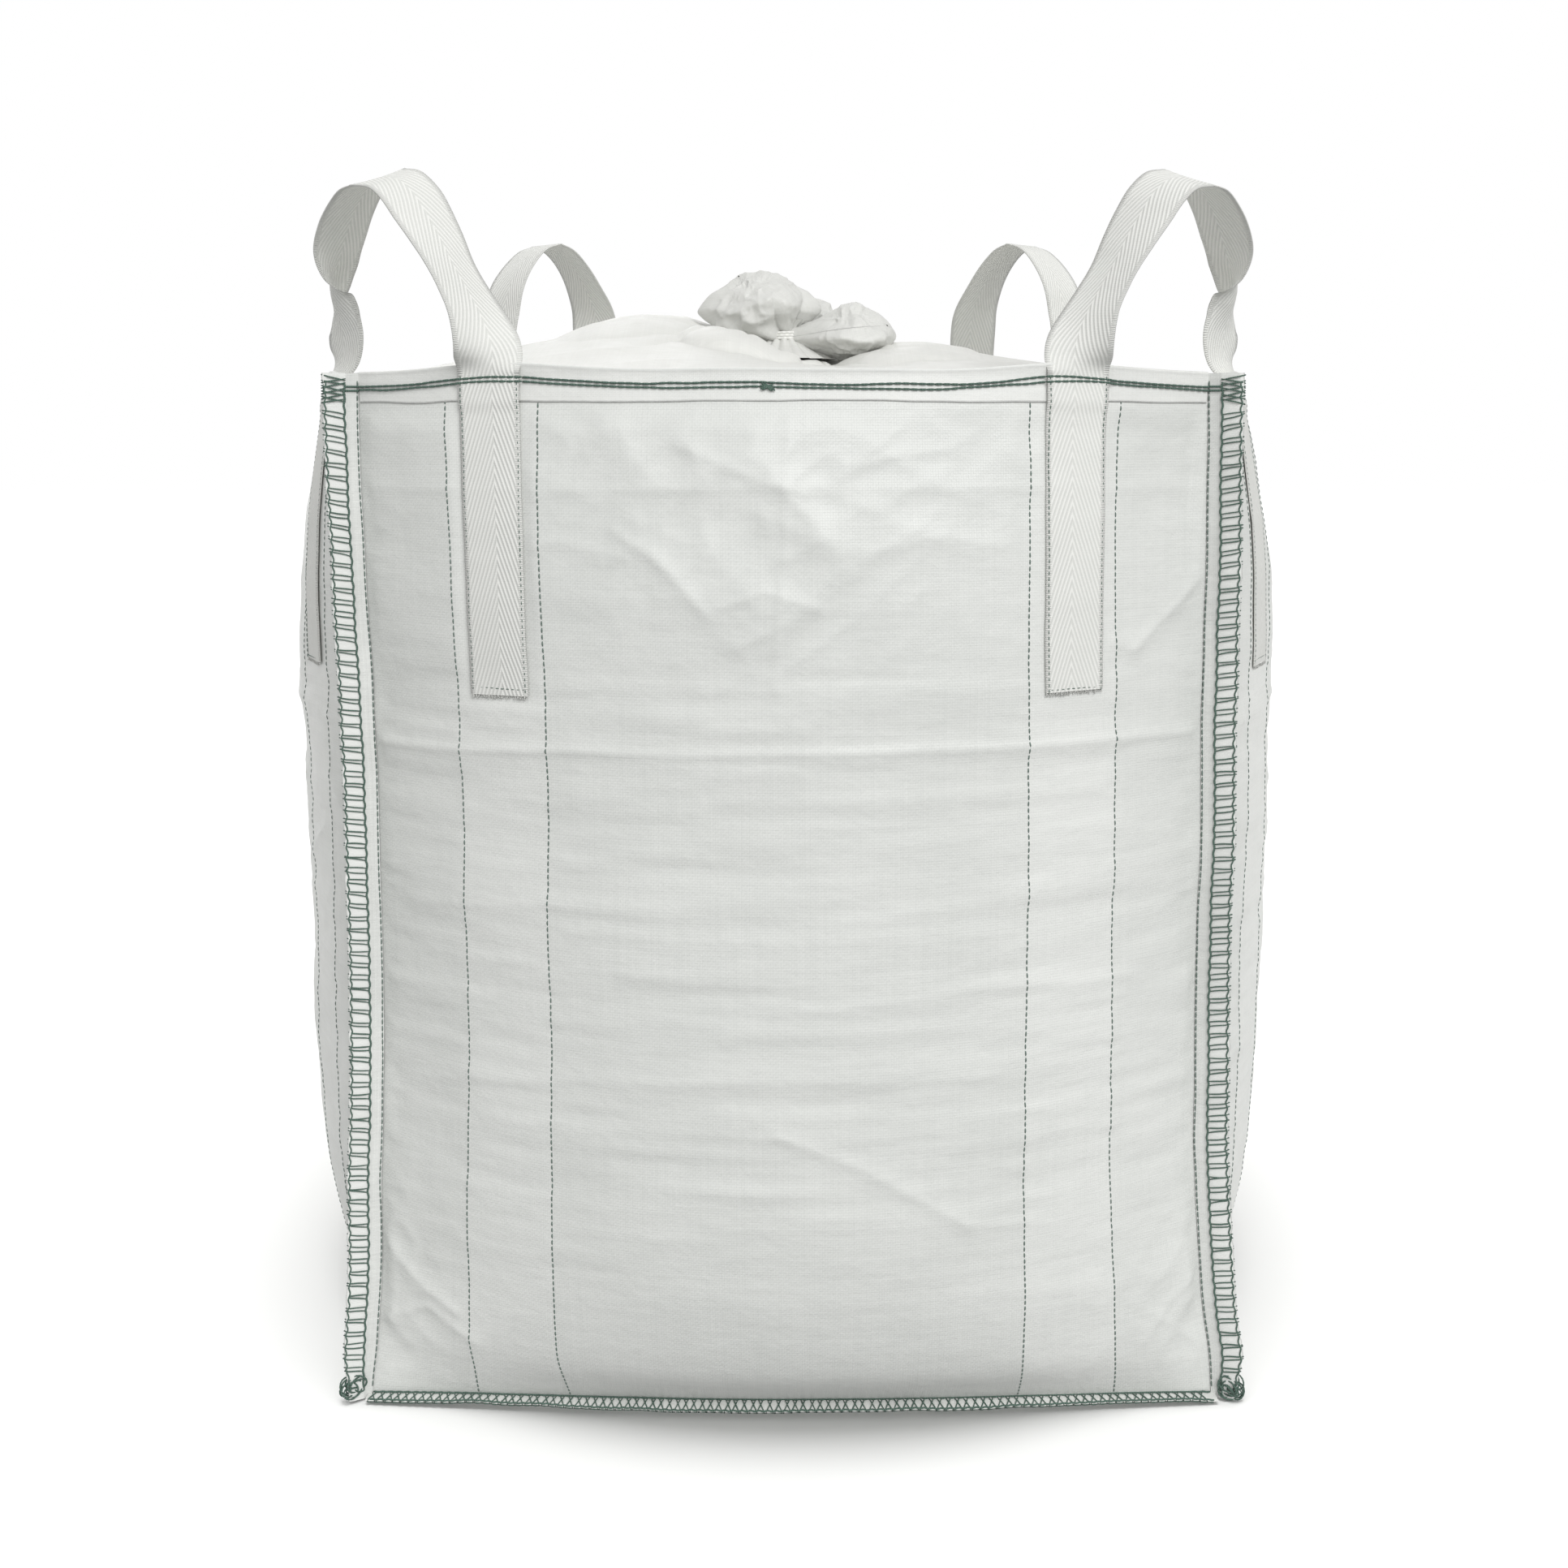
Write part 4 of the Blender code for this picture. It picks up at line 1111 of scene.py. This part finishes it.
def lobe(seed, gather, middle, outline, thick, soft, pleats, depth):
    """A puff of crumpled cloth: flat facets round an outline of (x, z) points, drawn in at the gather."""
    rows, count = 140, 216
    gather, middle = np.array(gather), np.array(middle)
    turn = np.array(Vector(gather - middle).normalized().to_track_quat("Z", "Y").to_matrix())
    v = np.linspace(0.02, math.pi - 0.02, rows)[:, None]
    a = np.linspace(0, 2 * math.pi, count + 1)[:-1][None, :]
    way = stacked(np.sin(v) * np.cos(a), np.sin(v) * np.sin(a), np.cos(v)) @ turn.T
    bent = way + 0.07 * np.stack([noise3(seed + k, way, 0.5) for k in (1, 2, 3)], axis=-1)
    pick = np.random.default_rng(seed)
    facets = []
    for (x0, z0), (x1, z1) in zip(outline, outline[1:] + outline[:1]):
        run = math.hypot(x1 - x0, z1 - z0)
        nx, nz = (z1 - z0) / run, (x0 - x1) / run
        away = nx * x0 + nz * z0
        nx, nz, away = (nx, nz, away) if away > 0 else (-nx, -nz, -away)
        for face in (-1, 1):
            tilt = math.radians(pick.uniform(24, 46)) * face
            facets.append((nx * math.cos(tilt), math.sin(tilt), nz * math.cos(tilt), away * math.cos(tilt)))
    for face in (-1, -1, -1, -1, 1, 1, 1):
        facet = np.array((pick.uniform(-0.6, 0.6), face, pick.uniform(-0.6, 0.6)))
        facets.append((*(facet / np.linalg.norm(facet)), thick * pick.uniform(0.85, 1.15)))
    facets = np.array(facets)
    press = np.maximum(bent @ facets[:, :3].T, 0.0) / facets[:, 3]
    size = (press ** soft).sum(-1) ** (-1 / soft)
    near = 1 - ease(v, 0.25, 2.0)
    pleat = np.abs(np.sin(pleats / 2 * (a + 0.5 * v) + 0.7 * noise3(seed + 4, way, 0.55)
                          + seed)) ** 0.75 - 0.62
    crush = 0.42 - np.abs(noise3(seed + 5, way, 0.42))
    size = size * (1 + depth * near * pleat + 0.115 * crush
                   + 0.035 * (0.42 - np.abs(noise3(seed + 6, way, 0.2))))
    body = middle + way * size[..., None]
    draw = (1 - ease(v, 0.0, 0.95)) ** 1.2
    tight = stacked(np.cos(a), np.sin(a), 0 * a) @ turn.T * 0.014 * (1 + 0.25 * pleat[..., None])
    points = body * (1 - draw)[..., None] + (gather + tight) * draw[..., None]
    return sheet_of(points, stacked(a * 0.06, v * 0.06), wrap=True)


CRUMPLED_LOBE = ((-0.077, -0.015), (-0.06, 0.006), (0.000, 0.046), (0.025, 0.034), (0.051, 0.031),
                 (0.077, -0.009), (0.032, -0.056), (-0.047, -0.044))
SMOOTH_LOBE = ((-0.066, -0.013), (-0.032, 0.021), (0.000, 0.038), (0.009, 0.036), (0.051, 0.017),
               (0.064, -0.013), (0.025, -0.04), (-0.028, -0.038))
REAR_LOBE = ((-0.05, -0.01), (-0.02, 0.03), (0.03, 0.026), (0.052, -0.006), (0.02, -0.034), (-0.03, -0.034))


def bunch():
    gather = (0.0, 0.0, RIM + 0.062)
    parts = [
        lobe(640, gather, (-0.033, 0.000, RIM + 0.107), CRUMPLED_LOBE, 0.05, 22, 6, 0.2),
        lobe(651, gather, (0.08, -0.022, RIM + 0.071), SMOOTH_LOBE, 0.046, 9, 4, 0.1),
        lobe(662, gather, (0.022, 0.055, RIM + 0.09), REAR_LOBE, 0.042, 12, 5, 0.16),
    ]
    made = piece("spout_puff", parts, spout_cloth, body="spout_top")
    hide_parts("spout_bunch")
    return made


top = top_sheet()
sleeve = spout_neck()
spout_cord()
puff = bunch()


# ---- floor, light and camera -------------------------------------------------------------------

def stage():
    mesh = bpy.data.meshes.new("floor")
    mesh.from_pydata([(-30, -30, 0), (30, -30, 0), (30, 30, 0), (-30, 30, 0)], [], [(0, 1, 2, 3)])
    floor = bpy.data.objects.new("floor", mesh)
    floor.location.z = -0.0004
    bpy.context.scene.collection.objects.link(floor)
    m = Shader("floor_paper", 0.9, 0.1)
    m.surface.inputs["Base Color"].default_value = (0.93, 0.93, 0.92, 1.0)
    mesh.materials.append(m.material)
    # the studio: white behind, and light that falls off from above to below
    world = bpy.data.worlds.new("studio")
    world.use_nodes = True
    tree = world.node_tree
    behind = tree.nodes["Background"]
    behind.inputs["Color"].default_value = (1.0, 1.0, 1.0, 1.0)
    around = tree.nodes.new("ShaderNodeBackground")
    height = tree.nodes.new("ShaderNodeSeparateXYZ")
    ramp = tree.nodes.new("ShaderNodeMapRange")
    ramp.inputs["From Min"].default_value = -1.0
    ramp.inputs["To Min"].default_value = AMBIENT_LOW
    ramp.inputs["To Max"].default_value = AMBIENT_HIGH
    direction = tree.nodes.new("ShaderNodeTexCoord")
    path = tree.nodes.new("ShaderNodeLightPath")
    mix = tree.nodes.new("ShaderNodeMixShader")
    tree.links.new(direction.outputs["Generated"], height.inputs[0])
    tree.links.new(height.outputs[2], ramp.inputs["Value"])
    tree.links.new(ramp.outputs[0], around.inputs["Strength"])
    tree.links.new(path.outputs["Is Camera Ray"], mix.inputs[0])
    tree.links.new(around.outputs[0], mix.inputs[1])
    tree.links.new(behind.outputs[0], mix.inputs[2])
    tree.links.new(mix.outputs[0], tree.nodes["World Output"].inputs[0])
    bpy.context.scene.world = world
    return floor


def only_lights(light, name, objects):
    """Keeps a light to some objects, so that the floor stays plain and pale."""
    group = bpy.data.collections.new(name)
    for made in objects:
        group.objects.link(made)
    light.light_linking.receiver_collection = group


def soft_sun(name, azimuth, elevation, strength, spread):
    """Light from far away; azimuth is to the right of the camera's side."""
    data = bpy.data.lights.new(name, "SUN")
    data.energy = strength
    data.angle = math.radians(spread)
    light = bpy.data.objects.new(name, data)
    a, e = math.radians(azimuth), math.radians(elevation)
    source = Vector((math.sin(a) * math.cos(e), -math.cos(a) * math.cos(e), math.sin(e)))
    light.rotation_euler = source.to_track_quat("Z", "Y").to_euler()
    bpy.context.scene.collection.objects.link(light)
    return light


AMBIENT_LOW, AMBIENT_HIGH = 0.5, 0.83
bag_pieces = [o for o in bpy.context.scene.objects if o.type == "MESH" and not o.hide_render]
floor = stage()
floor.visible_diffuse = False
only_lights(soft_sun("key", 27, 40, 1.72, 34), "lit_by_key", bag_pieces)
only_lights(soft_sun("front_fill", 0, 14, 0.46, 60), "lit_by_fill", bag_pieces)
only_lights(soft_sun("back_fill", 205, 14, 1.0, 60), "lit_from_behind", bag_pieces)
only_lights(soft_sun("floor_wash", 0, 86, 2.5, 42), "lit_by_wash", [floor])

camera_data = bpy.data.cameras.new("camera")
camera_data.sensor_width = 36.0
camera_data.lens = 40.75
camera_data.shift_y = -0.123
camera_data.clip_end = 100.0
camera = bpy.data.objects.new("camera", camera_data)
camera.location = (0.0, -2.2, 0.993)
camera.rotation_euler = (math.radians(85.0), 0.0, 0.0)
bpy.context.scene.collection.objects.link(camera)
bpy.context.scene.camera = camera
bpy.context.scene.view_settings.view_transform = "Standard"

bpy.context.view_layer.update()
